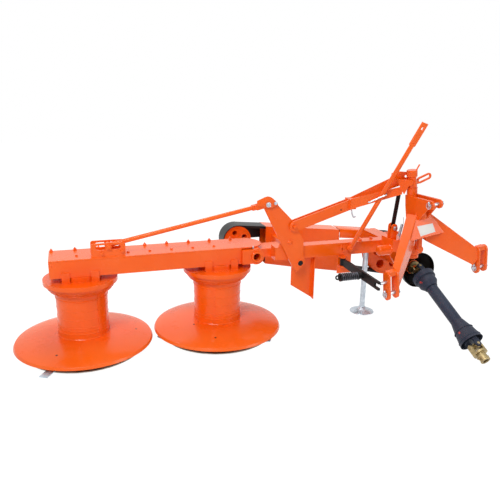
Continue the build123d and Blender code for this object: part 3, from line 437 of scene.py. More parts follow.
def spun(profile, steps=28, close=False):
    """A turned shape from radius and height pairs; close joins the last pair to the first."""
    shape = bmesh.new()
    points = [shape.verts.new((r, 0, z)) for r, z in profile]
    edges = [shape.edges.new(pair) for pair in zip(points, points[1:])]
    if close:
        edges.append(shape.edges.new((points[-1], points[0])))
    bmesh.ops.spin(
        shape, geom=points + edges, cent=(0, 0, 0), axis=(0, 0, 1), dvec=(0, 0, 0),
        angle=math.tau, steps=steps, use_merge=True,
    )
    bmesh.ops.remove_doubles(shape, verts=shape.verts, dist=0.000002)
    bmesh.ops.recalc_face_normals(shape, faces=shape.faces)
    return shape


def wire_ring(r, fat, run=0.0, points=10, steps=28):
    """A ring of round wire about Z: its middle radius, the wire's radius and its height."""
    turns = [math.tau * k / points for k in range(points)]
    return spun([(r + fat * math.cos(a), run + fat * math.sin(a)) for a in turns], steps, True)


def bead(r, z, fat=0.0035, steps=72):
    """A weld bead round a tube: a ring whose thickness ripples."""
    turns = (0.0, 1.26, 2.51, 3.77, 5.03)
    shape = spun([(r + fat * math.cos(a), z + fat * math.sin(a)) for a in turns], steps, True)
    for corner in shape.verts:
        turn = math.atan2(corner.co.y, corner.co.x)
        swell = 1.0 + 0.16 * math.sin(turn * 31.0) + 0.08 * math.sin(turn * 53.0 + 1.0)
        centre = Vector((r * math.cos(turn), r * math.sin(turn), z))
        corner.co = centre + (corner.co - centre) * swell
    return shape


def tube_along(points, r, ring=10, smooth=True, closed=False):
    """A bent rod or weld bead: a curve with a round section, made a mesh with closed ends."""
    line = bpy.data.curves.new("line", "CURVE")
    line.dimensions = "3D"
    line.bevel_depth = r
    line.bevel_resolution = ring // 2 - 2
    line.use_fill_caps = not closed
    line.resolution_u = 8
    spline = line.splines.new("NURBS" if smooth else "POLY")
    spline.points.add(len(points) - 1)
    for spot, place in zip(spline.points, points):
        spot.co = (*place, 1.0)
    if smooth:
        spline.order_u = 3
        spline.use_endpoint_u = not closed
    spline.use_cyclic_u = closed
    holder = bpy.data.objects.new("line", line)
    mesh = bpy.data.meshes.new_from_object(holder)
    shape = bmesh.new()
    shape.from_mesh(mesh)
    bpy.data.objects.remove(holder)
    bpy.data.curves.remove(line)
    bpy.data.meshes.remove(mesh)
    bmesh.ops.remove_doubles(shape, verts=shape.verts, dist=0.000005)
    bmesh.ops.recalc_face_normals(shape, faces=shape.faces)
    return shape


def weld_along(a, b, fat):
    """A rippled weld bead from a to b."""
    step = 0.006
    a, b = Vector(a), Vector(b)
    shape = tube_along([a, b], fat, 8, False)
    length = (b - a).length
    line = (b - a).normalized()
    cuts = max(2, int(length / step))
    long_edges = [e for e in shape.edges if abs((e.verts[0].co - e.verts[1].co).dot(line)) > length * 0.8]
    bmesh.ops.subdivide_edges(shape, edges=long_edges, cuts=cuts, use_grid_fill=True)
    for corner in shape.verts:
        run = (corner.co - a).dot(line)
        centre = a + line * run
        swell = 1.0 + 0.15 * math.sin(run * math.tau / (2.4 * step)) + 0.08 * math.sin(run * 431.0)
        corner.co = centre + (corner.co - centre) * swell
    return shape


def hex_bolt(flats, height, washer_r=0.0, stub_r=0.0, stub=0.0):
    """A hexagon head on its washer, with the threaded end of a stud where one stands out."""
    washer_thick = 0.0022
    thread_pitch = 0.0018
    shape = bmesh.new()
    low = 0.0
    if washer_r:
        low = washer_thick
        bmesh.ops.create_cone(
            shape, cap_ends=True, segments=28, radius1=washer_r, radius2=washer_r, depth=low,
            matrix=Matrix.Translation((0, 0, low / 2)),
        )
    bmesh.ops.create_cone(
        shape, cap_ends=True, segments=6, radius1=flats / math.sqrt(3), radius2=flats / math.sqrt(3),
        depth=height, matrix=Matrix.Translation((0, 0, low + height / 2)),
    )
    top = low + height
    rim = [e for e in shape.edges if all(abs(v.co.z - top) < 0.00001 for v in e.verts)]
    round_edges(shape, rim, height * 0.14)
    if stub:
        root = top - 0.001
        steps = 2 * max(2, int(stub / thread_pitch))
        ridges = [(stub_r * (0.9 if k % 2 else 1.0), root + stub * k / steps) for k in range(steps + 1)]
        add_into(shape, spun([(0.0, root), *ridges, (stub_r * 0.7, top + stub), (0.0, top + stub)], 14))
    return shape


def dome_bolt(r, height, washer_r=0.0):
    """A round-headed bolt on its washer."""
    low = 0.002 if washer_r else 0.0
    rise = [(r * math.cos(a), low + height * math.sin(a)) for a in (0.0, 0.35, 0.7, 1.05, 1.35)]
    base = [(0.0, 0.0), (washer_r, 0.0), (washer_r, low)] if washer_r else [(0.0, 0.0)]
    return spun([*base, *rise, (0.0, low + height)], 24)


def grease_nipple():
    return spun([
        (0.0, 0.0), (0.006, 0.0), (0.006, 0.004), (0.0035, 0.0045), (0.0035, 0.008),
        (0.0048, 0.010), (0.0048, 0.012), (0.0028, 0.0135), (0.002, 0.0145), (0.0, 0.0145),
    ], 14)


def plate(outline, thick, edge):
    """A flat plate from its corners, with softened edges."""
    shape = bmesh.new()
    face = shape.faces.new([shape.verts.new((x, y, 0)) for x, y in outline])
    grown = bmesh.ops.extrude_face_region(shape, geom=[face])
    bmesh.ops.translate(
        shape, vec=(0, 0, thick), verts=[v for v in grown["geom"] if isinstance(v, bmesh.types.BMVert)],
    )
    bmesh.ops.recalc_face_normals(shape, faces=shape.faces)
    round_edges(shape, shape.edges, edge)
    return shape


def coil(r, wire, turns, length, per_turn, ring):
    """A coil spring of round wire about Z."""
    shape = bmesh.new()
    loop = bmesh.ops.create_circle(shape, segments=ring, radius=wire, matrix=(
        Matrix.Translation((r, 0, 0)) @ Matrix.Rotation(math.radians(90), 4, "X")
    ))["verts"]
    steps = int(turns * per_turn)
    edges = list({e for v in loop for e in v.link_edges})
    bmesh.ops.spin(
        shape, geom=list(loop) + edges, cent=(0, 0, 0), axis=(0, 0, 1), dvec=(0, 0, length / steps),
        angle=turns * math.tau, steps=steps, use_merge=False,
    )
    bmesh.ops.holes_fill(shape, edges=shape.edges, sides=ring)
    bmesh.ops.recalc_face_normals(shape, faces=shape.faces)
    return shape


def make_piece(name, shape, body, finish):
    """Turns a finished shape into a named piece that rides on its body."""
    sharp_from = math.radians(35.0)
    mesh = bpy.data.meshes.new(name)
    shape.to_mesh(mesh)
    shape.free()
    mesh.materials.append(finish)
    for face in mesh.polygons:
        face.use_smooth = True
    mesh.set_sharp_from_angle(angle=sharp_from)
    piece = bpy.data.objects.new(name, mesh)
    bpy.context.scene.collection.objects.link(piece)
    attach(piece, body)


# small fasteners, each row: place, the way it faces, kind, sizes
kinds = {"hex": hex_bolt, "dome": dome_bolt, "nipple": grease_nipple}


def fasteners(name, body, finish, rows):
    """One piece from a table of bolts, each turned a little further than the last."""
    further = 0.35
    whole = bmesh.new()
    for number, (place, facing, kind, sizes) in enumerate(rows):
        add_into(whole, kinds[kind](*sizes), aim(Vector(place), facing, further * number))
    make_piece(name, whole, body, finish)


def cover_bolts():
    """Studs and screws of the beam's cover, and the bolts of the pull rod's bracket."""
    stud = (0.017, 0.0085, 0.0115, 0.0045, 0.007)
    screw = (0.013, 0.005, 0.009)
    bracket_bolt = (0.016, 0.008, 0.011)
    rows = []
    for x in (-0.152, -0.020, 0.115, 0.250, 0.388, 0.522, 0.658, 0.792, 0.930):
        rows.append(((x, 0.092, cover_top), Z, "hex", stud))
    for x in (-0.014, 0.275, 0.400, 0.530, 0.659, 0.790):
        rows.append(((x, -0.036, cover_top), Z, "hex", screw))
    rows.append(((-0.150, beam_front, 0.612), -Y, "dome", (0.006, 0.003, 0.008)))
    for x, z in ((0.1245, 0.661), (0.236, 0.668)):
        rows.append(((x, bracket_front, z), -Y, "hex", bracket_bolt))
    fasteners("cover_bolts", "cutter_beam", orange, rows)
    nipple = ((1.019, beam_front, 0.6285), Z, "nipple", ())
    fasteners("hinge_nipple", "cutter_beam", zinc, [nipple])


def frame_bolts():
    """Bolts of the crank plate, the strut's bracket and the front beam's top."""
    strut_bolt = (0.014, 0.007, 0.010)
    beam_bolt = (0.017, 0.009, 0.0115)
    rows = [
        ((1.2357, crank_front, 0.667), -Y, "dome", (0.0145, 0.008, 0.019)),
        ((1.2550, -0.196, 0.768), -Y, "hex", (0.019, 0.007)),
        ((1.591, front_beam_front, 0.608), -Y, "hex", strut_bolt),
        ((1.6575, front_beam_front, 0.572), -Y, "hex", strut_bolt),
        ((1.7548, -0.090, front_beam_top), Z, "hex", beam_bolt),
        ((1.7430, -0.128, front_beam_top), Z, "hex", beam_bolt),
        ((1.8355, -0.100, front_beam_top), Z, "hex", beam_bolt),
    ]
    fasteners("frame_bolts", "main_frame", orange, rows)


def crank_and_boom_rings():
    """The ring of the crank's bore with a black disc in it as painted shade for the bore's depth, the ring at
    the boom's foot, and a black dome on the boom as painted shade of a hole.
    """
    bore = aim(Vector((1.3105, crank_front, 0.5276)), -Y)
    foot = aim(Vector((1.255, boom_front, 0.768)), -Y)
    rings = bmesh.new()
    bore_ring = [
        (0.0172, 0.0), (0.0235, 0.0), (0.0235, 0.0028), (0.0222, 0.0036), (0.0184, 0.0036), (0.0172, 0.0028),
    ]
    add_into(rings, spun(bore_ring, 32, True), bore)
    foot_ring = [(0.0145, 0.0), (0.0285, 0.0), (0.0285, 0.0022), (0.0275, 0.0030), (0.0145, 0.0030)]
    add_into(rings, spun(foot_ring, 32, True), foot)
    make_piece("boom_and_crank_rings", rings, "main_frame", orange)
    # black disc in the ring: painted shade standing for the bore's dark depth, not a real hole
    dark_bore_shade = bmesh.new()
    add_into(dark_bore_shade, spun([(0.0, 0.0), (0.0174, 0.0), (0.0174, 0.0006), (0.0, 0.0006)], 28), bore)
    make_piece("crank_bore_painted_shade", dark_bore_shade, "main_frame", black_enamel)
    # black dome on the boom's face: painted shade of a hole
    boom_hole_dot = ((1.5613, boom_front, 0.8565), -Y, "dome", (0.0055, 0.0015))
    fasteners("boom_hole_shade", "main_frame", black_enamel, [boom_hole_dot])


def belt_guard():
    """Folded sheet over the belts between their housing and the input pulley."""
    near, far = 1.800, 2.055
    whole = bmesh.new()
    front = plate([(near, 0.545), (far, 0.518), (far, 0.580), (near, 0.608)], 0.004, 0.0012)
    add_into(whole, front, basis(Vector((0, 0.2755, 0)), X, Z, -Y))
    top = plate([(near, 0.6055), (far, 0.5775), (far, 0.5805), (near, 0.6085)], 0.120, 0.0010)
    add_into(whole, top, basis(Vector((0, 0.3915, 0)), X, Z, -Y))
    make_piece("belt_guard_sheet", whole, "main_frame", orange)


def latch_tube():
    """Round housing of the swing catch, welded to the side of the swivel block."""
    profile = [
        (0.0, 0.0), (0.020, 0.0), (0.0265, 0.003), (0.0305, 0.008), (0.0320, 0.015), (0.0320, 0.090),
        (0.0, 0.090),
    ]
    whole = bmesh.new()
    add_into(whole, spun(profile, 40), aim(latch_end, X))
    make_piece("swing_latch_tube", whole, "main_frame", orange)


def catch_coils():
    """Wound spring on the catch's side rod, with its end caps and the eye at the rod's end."""
    start = Vector((1.4600, -0.42880, 0.5057))
    line = Vector((0.9998, 0.0209, 0.0))
    wound_length = 0.112
    wound = bmesh.new()
    add_into(wound, coil(0.0205, 0.0038, 9, wound_length, 22, 8), aim(start, line))
    make_piece("catch_coils", wound, "transport_catch", spring_steel)
    ends = bmesh.new()
    cap = [(0.0, -0.004), (0.0250, -0.004), (0.0250, 0.003), (0.0, 0.003)]
    for run in (-0.003, wound_length + 0.0025):
        add_into(ends, spun(cap, 28), aim(start + line * run, line))
    add_into(ends, wire_ring(0.0105, 0.0048), aim(start - line * 0.0215, Vector((0.0, -1.0, 0.25))))
    make_piece("catch_spring_ends", ends, "transport_catch", black_enamel)


def upper_fixings():
    """The tie bar's bolt, and the pin that leans out of the post's head."""
    bolt = ((1.9080, -0.263, 0.7360), -Y, "hex", (0.021, 0.009, 0.0145))
    fasteners("tie_bolts", "main_frame", zinc, [bolt])
    bends = [at_hitch(-0.004, 0.200, 0.600), at_hitch(0.004, 0.200, 0.632), at_hitch(0.036, 0.200, 0.668)]
    make_piece("head_pin", tube_along(bends, 0.0045, 12), "headstock", orange)


def beam_welds():
    """Weld beads of the shields' feet under the beam, and of the rod's bracket on its cover."""
    whole = bmesh.new()
    for centre in (outer_drum_x, inner_drum_x):
        for side in (-0.102, -0.058, 0.058, 0.102):
            x = centre + side
            add_into(whole, weld_along((x, -0.1105, 0.537), (x, -0.1105, 0.563), 0.0030))
        for middle in (-0.080, 0.080):
            left, right = centre + middle - 0.021, centre + middle + 0.021
            add_into(whole, weld_along((left, -0.1115, 0.5655), (right, -0.1115, 0.5655), 0.0030))
    add_into(whole, weld_along((0.067, -0.1050, 0.6390), (0.253, -0.1050, 0.6390), 0.0032))
    make_piece("beam_welds", whole, "cutter_beam", orange)


def frame_welds():
    """Weld beads where plates meet the front beam, and round the latch tube's root."""
    whole = bmesh.new()
    for start, end in (
        ((1.282, -0.1005, 0.5505), (1.428, -0.1005, 0.5505)),
        ((1.884, -0.152, 0.592), (1.884, -0.152, 0.631)),
        ((1.884, -0.1535, 0.634), (2.028, -0.1535, 0.634)),
        ((1.230, -0.1510, 0.634), (1.330, -0.1510, 0.634)),
    ):
        add_into(whole, weld_along(start, end, 0.0034))
    add_into(whole, bead(0.0325, 0.085, 0.0030, 48), aim(latch_end, X))
    make_piece("frame_welds", whole, "main_frame", orange)


def post_cap():
    """Round cap on the post, above the boom's collar."""
    low, high = 0.598, 0.6385
    profile = [(0.0, low), (0.0305, low), (0.0325, 0.600), (0.0325, 0.634), (0.0290, high), (0.0, high)]
    whole = bmesh.new()
    post = basis(hitch, across, behind, above) @ Matrix.Translation((0.0, post_back, 0.0))
    add_into(whole, spun(profile, 40), post)
    make_piece("post_cap", whole, "headstock", orange)


def yoke_clamp():
    """Clamp bolt with its nut, and the locking ring, on the tractor yoke."""
    whole = bmesh.new()
    hub = first_joint + shaft_line * (joint_span + 0.080)
    for side, sizes in ((1.0, (0.015, 0.008, 0.010)), (-1.0, (0.015, 0.010, 0.0, 0.004, 0.010))):
        add_into(whole, hex_bolt(*sizes), aim(hub + shaft_side * side * 0.027, shaft_side * side))
    ring = [(0.0205, 0.0), (0.0285, 0.0), (0.0300, 0.002), (0.0300, 0.009), (0.0285, 0.011), (0.0205, 0.011)]
    add_into(whole, spun(ring, 36, True), aim(first_joint + shaft_line * (joint_span + 0.0945), shaft_line))
    make_piece("yoke_clamp", whole, "tractor_yoke", yellow_zinc)


def rod_ends():
    """Washers and split pins on the pull rod's two pins, and the bolt of its fork."""
    # bends of a split pin: along the rod, up
    bends = (
        (-0.013, 0.009), (-0.009, 0.012), (-0.005, 0.006), (0.004, -0.004), (0.010, -0.012), (0.015, -0.010),
    )
    for name, place, r, finish, slot in (
        ("fork_pin_end", (1.084, -0.188, 0.911), 0.010, zinc, "zinc_steel"),
        ("low_pin_end", (0.160, -0.1129, 0.697), 0.008, orange, "orange_paint"),
    ):
        x, y, z = place
        whole = bmesh.new()
        washer = [
            (0.0, 0.0), (r + 0.005, 0.0), (r + 0.005, 0.0022), (r + 0.001, 0.0028), (r - 0.001, 0.0060),
            (0.0, 0.0065),
        ]
        add_into(whole, spun(washer, 28), aim(Vector(place), -Y))
        add_into(whole, tube_along([(x + along, y - 0.0045, z + up) for along, up in bends], 0.0016, 8))
        if name == "fork_pin_end":
            add_into(whole, hex_bolt(0.015, 0.006, 0.0105), aim(Vector((1.1300, -0.185, 0.918)), -Y))
        make_piece(name, whole, "lift_rod", finish)


def fork_cheek():
    """The rounded cheek that the pull rod's fork lays over the crank plate's top."""
    cheek = plate([
        (1.014, 0.905), (1.050, 0.896), (1.097, 0.890), (1.1465, 0.906), (1.142, 0.921), (1.110, 0.949),
        (1.096, 0.957), (1.080, 0.9605), (1.062, 0.957), (1.014, 0.937),
    ], 0.005, 0.0012)
    whole = bmesh.new()
    add_into(whole, cheek, basis(Vector((0, -0.180, 0)), X, Z, -Y))
    make_piece("fork_cheek", whole, "lift_rod", orange)


def boom_wires():
    """The hook under the boom and the spring clip that holds the strut against it."""
    hook = tube_along([
        (1.640, -0.164, 0.872), (1.640, -0.172, 0.850), (1.644, -0.176, 0.826), (1.652, -0.178, 0.804),
        (1.662, -0.178, 0.802), (1.669, -0.178, 0.810),
    ], 0.0045, 12)
    make_piece("boom_hook", hook, "main_frame", zinc)
    clip = tube_along([at_boom(*spot) for spot in (
        (0.212, 0.030, 0.072), (0.211, 0.050, 0.074), (0.208, 0.079, 0.076), (0.190, 0.081, 0.068),
        (0.150, 0.081, 0.047), (0.120, 0.081, 0.0315), (0.110, 0.080, 0.024), (0.104, 0.076, 0.026),
    )], 0.0046, 12)
    make_piece("strut_clip", clip, "main_frame", zinc)


def drum_flare():
    """The step under a drum's flange."""
    return spun([
        (0.1440, 0.424), (0.1485, 0.424), (0.1520, 0.4290), (0.1600, 0.4325), (0.1700, 0.4345),
        (0.1750, 0.4375), (0.1760, 0.4420), (0.1760, 0.4530), (0.1440, 0.4530),
    ], 96, True)


def drum_ring(z, r, high, half):
    """A ring rolled into a drum's wall, at a height, with its stand-off and half its width."""
    inner, outer = r - 0.003, r + high
    return spun([
        (inner, z - half), (r, z - half), (outer, z - half * 0.4), (outer, z + half * 0.4), (r, z + half),
        (inner, z + half),
    ], 96, True)


def drum_seam(width):
    """The lapped seam down a drum's wall, width in radians."""
    inner, top = 0.1430, 0.440
    seam = bmesh.new()
    outline = (
        (inner, drum_floor), (0.1524, drum_floor), (0.1505, 0.235), (0.1487, 0.300), (0.1505, 0.370),
        (0.1524, top), (inner, top),
    )
    face = seam.faces.new([seam.verts.new((r, 0, z)) for r, z in outline])
    bmesh.ops.spin(
        seam, geom=[face], cent=(0, 0, 0), axis=(0, 0, 1), dvec=(0, 0, 0),
        angle=width, steps=3, use_merge=False,
    )
    bmesh.ops.recalc_face_normals(seam, faces=seam.faces)
    return seam


def drum_details(name, body, x, seam_turn, seam_width, hole_spots):
    """Flare, rolled rings, beads and seam of one drum, and black domes on its disc as painted shade of the
    disc's holes.
    """
    # the disc's cone: its height and radius where it starts, how far it falls over how wide a ring
    cone_top, cone_start = 0.165, 0.157
    cone_fall, cone_width = 0.029, 0.1845
    hole_shade_sink = 0.0004
    centre = Matrix.Translation((x, 0, 0))
    whole = bmesh.new()
    add_into(whole, drum_flare(), centre)
    for z, r, high, half in (
        (0.396, 0.1474, 0.0030, 0.0050), (0.335, 0.1458, 0.0014, 0.0024), (0.283, 0.1455, 0.0014, 0.0024),
        (0.236, 0.1468, 0.0018, 0.0030), (0.217, 0.1473, 0.0018, 0.0030), (0.198, 0.1479, 0.0022, 0.0034),
    ):
        add_into(whole, drum_ring(z, r, high, half), centre)
    for r, z, fat in ((0.1495, 0.1665, 0.0042), (0.1850, 0.4535, 0.0040), (0.1755, 0.4395, 0.0030)):
        add_into(whole, bead(r, z, fat, 96), centre)
    add_into(whole, drum_seam(seam_width), centre @ Matrix.Rotation(math.radians(seam_turn), 4, "Z"))
    make_piece(name + "_drum_details", whole, body, orange)
    # black domes where the disc shows dark holes: painted shade, not real plugs
    hole_shade_domes = bmesh.new()
    for px, py in hole_spots:
        cone_z = cone_top - cone_fall * (math.hypot(px, py) - cone_start) / cone_width
        add_into(hole_shade_domes, dome_bolt(0.0062, 0.0022), Matrix.Translation((x + px, py, cone_z - hole_shade_sink)))
    make_piece(name + "_disc_hole_shade", hole_shade_domes, body, black_enamel)


def knife_pins(name, body, x, turns):
    """Round pin head under each knife, at its turn in degrees."""
    pin_circle = 0.372
    disc_low = 0.085
    whole = bmesh.new()
    for turn in turns:
        a = math.radians(turn)
        spot = Vector((x + pin_circle * math.cos(a), pin_circle * math.sin(a), disc_low))
        add_into(whole, dome_bolt(0.011, 0.004, 0.014), aim(spot, -Z))
    make_piece(name + "_knife_pins", whole, body, blade_steel)


def pulley_walls(name, body, x, z, low, high):
    """Walls between a pulley's belt grooves, the two outer ones thinner."""
    outer_half, inner_half = 0.0015, 0.0038
    whole = bmesh.new()
    for y, half in (
        (0.2765, outer_half), (0.3045, inner_half), (0.3305, inner_half), (0.3565, inner_half),
        (0.3795, outer_half),
    ):
        wall = [
            (low - 0.004, -half), (low, -half), (high, -half * 0.6), (high, half * 0.6), (low, half),
            (low - 0.004, half),
        ]
        add_into(whole, spun(wall, 72, True), aim(Vector((x, y, z)), -Y))
    make_piece(name, whole, body, orange)


def hinge_rings():
    """End ring and weld beads of the beam's hinge bosses."""
    whole = bmesh.new()
    ring = [
        (0.0225, 0.0), (0.0345, 0.0), (0.0345, 0.0080), (0.0325, 0.0100), (0.0240, 0.0100), (0.0225, 0.0085),
    ]
    add_into(whole, spun(ring, 48, True), aim(Vector((hinge_x, -0.135, hinge_z)), -Y))
    for y in (-0.090, 0.131):
        add_into(whole, bead(0.0500, 0.0, 0.0034, 60), aim(Vector((hinge_x, y, hinge_z)), -Y))
    make_piece("hinge_rings", whole, "cutter_beam", orange)


def stand_details():
    """Clamp bolt and weld of the stand's sleeve, and the weld of its foot."""
    whole = bmesh.new()
    add_into(whole, hex_bolt(0.017, 0.010, 0.012, 0.005, 0.014), aim(Vector((1.940, stand_y, 0.500)), -X))
    add_into(whole, bead(0.0275, 0.4715, 0.0016, 48), Matrix.Translation((stand_x, stand_y, 0)))
    make_piece("stand_clamp", whole, "main_frame", orange)
    foot = bmesh.new()
    add_into(foot, bead(0.0205, 0.0372, 0.0026, 48), Matrix.Translation((stand_x, stand_y, 0)))
    make_piece("stand_foot_weld", foot, "parking_stand", zinc)


def gusset_label():
    """Blank plate on the gusset, from its four corners in the headstock's frame."""
    corners = [at_hitch(*spot) for spot in (
        (-0.0548, 0.1146, 0.3188), (0.0622, 0.1132, 0.3150),
        (0.0686, 0.0942, 0.2634), (-0.0460, 0.0927, 0.2591),
    )]
    along = (corners[1] - corners[0]).normalized()
    down = corners[3] - corners[0]
    facing = along.cross(down).normalized()
    if facing.y > 0:
        facing = -facing
    up = facing.cross(along).normalized()
    middle = sum(corners, Vector()) / 4
    flat = [((c - middle).dot(along), (c - middle).dot(up)) for c in corners]
    label = bmesh.new()
    add_into(label, plate(flat, 0.0007, 0.0002), basis(middle, along, up, facing))
    make_piece("gusset_label", label, "headstock", label_white)


def hitch_clips():
    """Linch pins through the two lower hitch pins and the top pin, and each pin's head."""
    ring_r = 0.0185
    turns = [math.tau * k / 16 for k in range(16)]
    knob = [(0.0, -0.006), (0.0065, -0.006), (0.0065, 0.003), (0.004, 0.006), (0.0, 0.006)]
    whole = bmesh.new()
    # the pin's place, where its linch pin crosses it, its radius
    for side, back, high, reach, pin_r in (
        (-half_span, 0.0, 0.0, -0.046, 0.011), (half_span, 0.0, 0.0, -0.046, 0.011),
        (0.0, 0.025, mast_height, -0.047, 0.0095),
    ):
        stem_top = at_hitch(side + reach, back, high + pin_r + 0.010)
        stem_low = at_hitch(side + reach, back, high - pin_r - 0.009)
        add_into(whole, tube_along([stem_top, stem_low], 0.0030, 10, False))
        add_into(whole, spun(knob, 16), aim(stem_top, above))
        ring = [
            at_hitch(side + reach - 0.002, back + ring_r * math.sin(a), high + ring_r * math.cos(a))
            for a in turns
        ]
        add_into(whole, tube_along(ring, 0.0016, 8, True, True))
        head = [(0.0, 0.0), (pin_r + 0.003, 0.0), (pin_r + 0.003, 0.004), (pin_r, 0.006), (0.0, 0.006)]
        add_into(whole, spun(head, 24), aim(at_hitch(side + 0.052, back, high), across))
    make_piece("hitch_clips", whole, "headstock", zinc)


def mast_tube_and_welds():
    """Short tube between the mast's plates, the sleeve's weld beads, and the lug below the gusset."""
    headstock = basis(hitch, across, behind, above)
    whole = bmesh.new()
    tube = [
        (0.0150, 0.354), (0.0200, 0.354), (0.0210, 0.356), (0.0210, 0.412), (0.0200, 0.414), (0.0150, 0.414),
    ]
    add_into(whole, spun(tube, 32, True), headstock @ Matrix.Translation((0.0, 0.127, 0.0)))
    for high in (0.2365, 0.5285):
        add_into(whole, bead(0.0322, high, 0.0024, 60), headstock @ Matrix.Translation((0.0, post_back, 0.0)))
    lug = [(0.0, -0.009), (0.0205, -0.009), (0.0220, -0.007), (0.0220, 0.007), (0.0205, 0.009), (0.0, 0.009)]
    add_into(whole, spun(lug, 32), aim(at_hitch(-0.003, 0.150, 0.150), -behind))
    neck = plate([(-0.013, 0.0), (0.013, 0.0), (0.015, 0.075), (-0.015, 0.075)], 0.012, 0.0015)
    add_into(whole, neck, basis(at_hitch(-0.003, 0.156, 0.150), across, above, -behind))
    make_piece("mast_tube_and_welds", whole, "headstock", orange)


def guard_rings():
    """Two rings round each cone of the drive shaft's guard."""
    turned = basis(first_joint, shaft_side, shaft_up, shaft_line)
    # name, body, where its joint is, which way its cone runs, how far the wide ring is from the joint
    for name, body, start, way, wide_run in (
        ("rear", "shaft_rear", 0.0, 1.0, 0.062), ("front", "shaft_front", joint_span, -1.0, 0.060),
    ):
        whole = bmesh.new()
        for r, run, fat in ((0.0755, wide_run, 0.0030), (0.0650, 0.124, 0.0026)):
            add_into(whole, wire_ring(r - 0.0035, fat, start + way * run, 8, 64), turned)
        make_piece("guard_rings_" + name, whole, body, slate_plastic)


def guard_latches():
    """Red turning latch on each cone of the drive shaft's guard."""
    head = [(0.0, -0.004), (0.0075, -0.004), (0.0075, 0.0035), (0.0060, 0.0055), (0.0, 0.0058)]
    tab = [(-0.013, -0.006), (0.013, -0.006), (0.013, 0.006), (-0.013, 0.006)]
    for name, body, place in (
        ("rear", "shaft_rear", Vector((2.1546, -0.2410, 0.3449))),
        ("front", "shaft_front", Vector((2.1930, -0.6263, 0.1436))),
    ):
        axis_point = first_joint + shaft_line * (place - first_joint).dot(shaft_line)
        out = (place - axis_point).normalized()
        knob = bmesh.new()
        add_into(knob, spun(head, 20), aim(place, out))
        add_into(knob, plate(tab, 0.003, 0.0012), aim(place - out * 0.004, out))
        make_piece("guard_latch_" + name, knob, body, red_plastic)


def tie_spring():
    """Spring from the boom's tie down to the main frame, hooked at both ends."""
    wire, coil_r = 0.0018, 0.0085
    top = Vector((1.9665, -0.250, 0.802))
    high = Vector((1.9646, -0.250, 0.758))
    low = Vector((1.9473, -0.250, 0.677))
    foot = Vector((1.945, -0.250, 0.660))
    line = low - high
    to_coil = Vector((coil_r, 0, 0))
    whole = bmesh.new()
    add_into(whole, coil(coil_r, wire, 19, line.length, 16, 6), aim(high, line))
    upper_hook = [top, top + Vector((0.004, 0, -0.012)), high + Vector((0.006, 0, 0.010)), high + to_coil]
    lower_hook = [low + to_coil, low + Vector((0.004, 0, -0.008)), foot]
    for hook in (upper_hook, lower_hook):
        add_into(whole, tube_along(hook, wire, 8))
    make_piece("tie_spring", whole, "main_frame", zinc)


cover_bolts()
frame_bolts()
crank_and_boom_rings()
belt_guard()
latch_tube()
catch_coils()
upper_fixings()
beam_welds()
frame_welds()
post_cap()
yoke_clamp()
rod_ends()
fork_cheek()
boom_wires()
drum_details("outer", "outer_rotor", outer_drum_x, -56.0, 0.110, ((-0.1566, -0.2558), (0.3023, -0.0183)))
drum_details("inner", "inner_rotor", inner_drum_x, -112.0, 0.034, ((-0.083, -0.2778), (-0.1708, -0.086)))
knife_pins("outer", "outer_rotor", outer_drum_x, (-120, 0, 120))
knife_pins("inner", "inner_rotor", inner_drum_x, (-50, 70, 190))
pulley_walls("driven_pulley_walls", "belt_pulley", hinge_x, hinge_z, 0.0835, 0.0945)
pulley_walls("drive_pulley_walls", "input_pulley", input_x, input_z, 0.1445, 0.1555)
hinge_rings()
stand_details()
gusset_label()
hitch_clips()
mast_tube_and_welds()
guard_rings()
guard_latches()
tie_spring()


# the studio: a plain pale floor, plain air and four soft lamps
def seen_directly(tree):
    """1 for camera, see-through and mirror rays, which show the white background; 0 for light."""
    path = tree.nodes.new("ShaderNodeLightPath")
    seen = maths(tree, "MAXIMUM", path.outputs["Is Camera Ray"], path.outputs["Is Transmission Ray"])
    return maths(tree, "MAXIMUM", seen, path.outputs["Is Glossy Ray"])


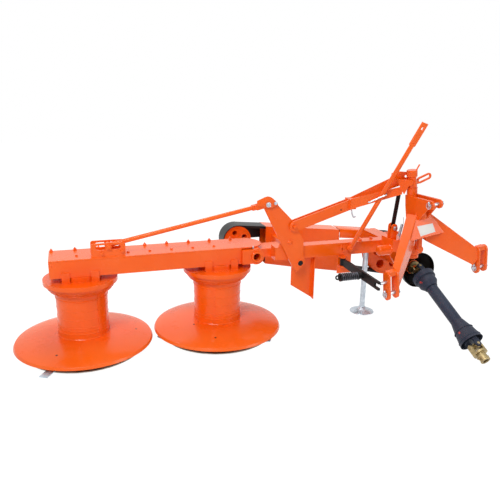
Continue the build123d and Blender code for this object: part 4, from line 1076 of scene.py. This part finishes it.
def studio_floor():
    """A pale floor that takes shadows and otherwise looks as white as the air."""
    half_side = 14.0
    glow_strength = 1.16
    glow_share = 0.84
    shape = bmesh.new()
    bmesh.ops.create_grid(shape, x_segments=1, y_segments=1, size=half_side)
    mesh = bpy.data.meshes.new("studio_floor")
    shape.to_mesh(mesh)
    shape.free()
    floor = bpy.data.objects.new("studio_floor", mesh)
    bpy.context.scene.collection.objects.link(floor)
    material, tree, shader, where = new_material("studio_floor_finish")
    speck = range_of(tree, noise_of(tree, where, 3.0), 0.3, 0.7, 0.0, 0.01)
    link(tree, mix_colour(tree, speck, (0.93, 0.93, 0.93), (0.90, 0.90, 0.90)), shader.inputs["Base Color"])
    shader.inputs["Roughness"].default_value = 0.9
    shader.inputs["Specular IOR Level"].default_value = 0.1
    glow = tree.nodes.new("ShaderNodeEmission")
    glow.inputs["Color"].default_value = (1, 1, 1, 1)
    glow.inputs["Strength"].default_value = glow_strength
    blend = tree.nodes.new("ShaderNodeMixShader")
    link(tree, maths(tree, "MULTIPLY", seen_directly(tree), glow_share), blend.inputs[0])
    link(tree, shader.outputs[0], blend.inputs[1])
    link(tree, glow.outputs[0], blend.inputs[2])
    link(tree, blend.outputs[0], tree.nodes["Material Output"].inputs["Surface"])
    mesh.materials.append(material)


def studio_air():
    """Air that looks white and lights the object softly."""
    soft_light = 0.27
    world = bpy.data.worlds.new("studio_air")
    bpy.context.scene.world = world
    world.use_nodes = True
    air = world.node_tree
    backdrop = air.nodes["Background"]
    backdrop.inputs["Color"].default_value = (1, 1, 1, 1)
    link(air, range_of(air, seen_directly(air), 0.0, 1.0, soft_light, 1.0), backdrop.inputs["Strength"])


def studio_lamps():
    # name, place, where it looks, size, power
    for name, place, target, size, power in (
        ("key_lamp", (-1.6, -3.4, 4.4), (0.8, 0.0, 0.3), 2.0, 178.0),
        ("fill_lamp", (4.8, -3.4, 2.2), (1.4, -0.2, 0.5), 2.0, 44.0),
        ("top_lamp", (1.2, 0.6, 4.8), (1.0, 0.0, 0.3), 3.0, 66.0),
        ("back_lamp", (0.5, 2.7, 4.6), (0.4, 0.0, 0.1), 1.6, 60.0),
    ):
        lamp = bpy.data.lights.new(name, "AREA")
        lamp.shape = "SQUARE"
        lamp.size = size
        lamp.energy = power
        holder = bpy.data.objects.new(name, lamp)
        bpy.context.scene.collection.objects.link(holder)
        holder.location = place
        holder.rotation_euler = (Vector(target) - Vector(place)).to_track_quat("-Z", "Y").to_euler()


studio_floor()
studio_air()
studio_lamps()
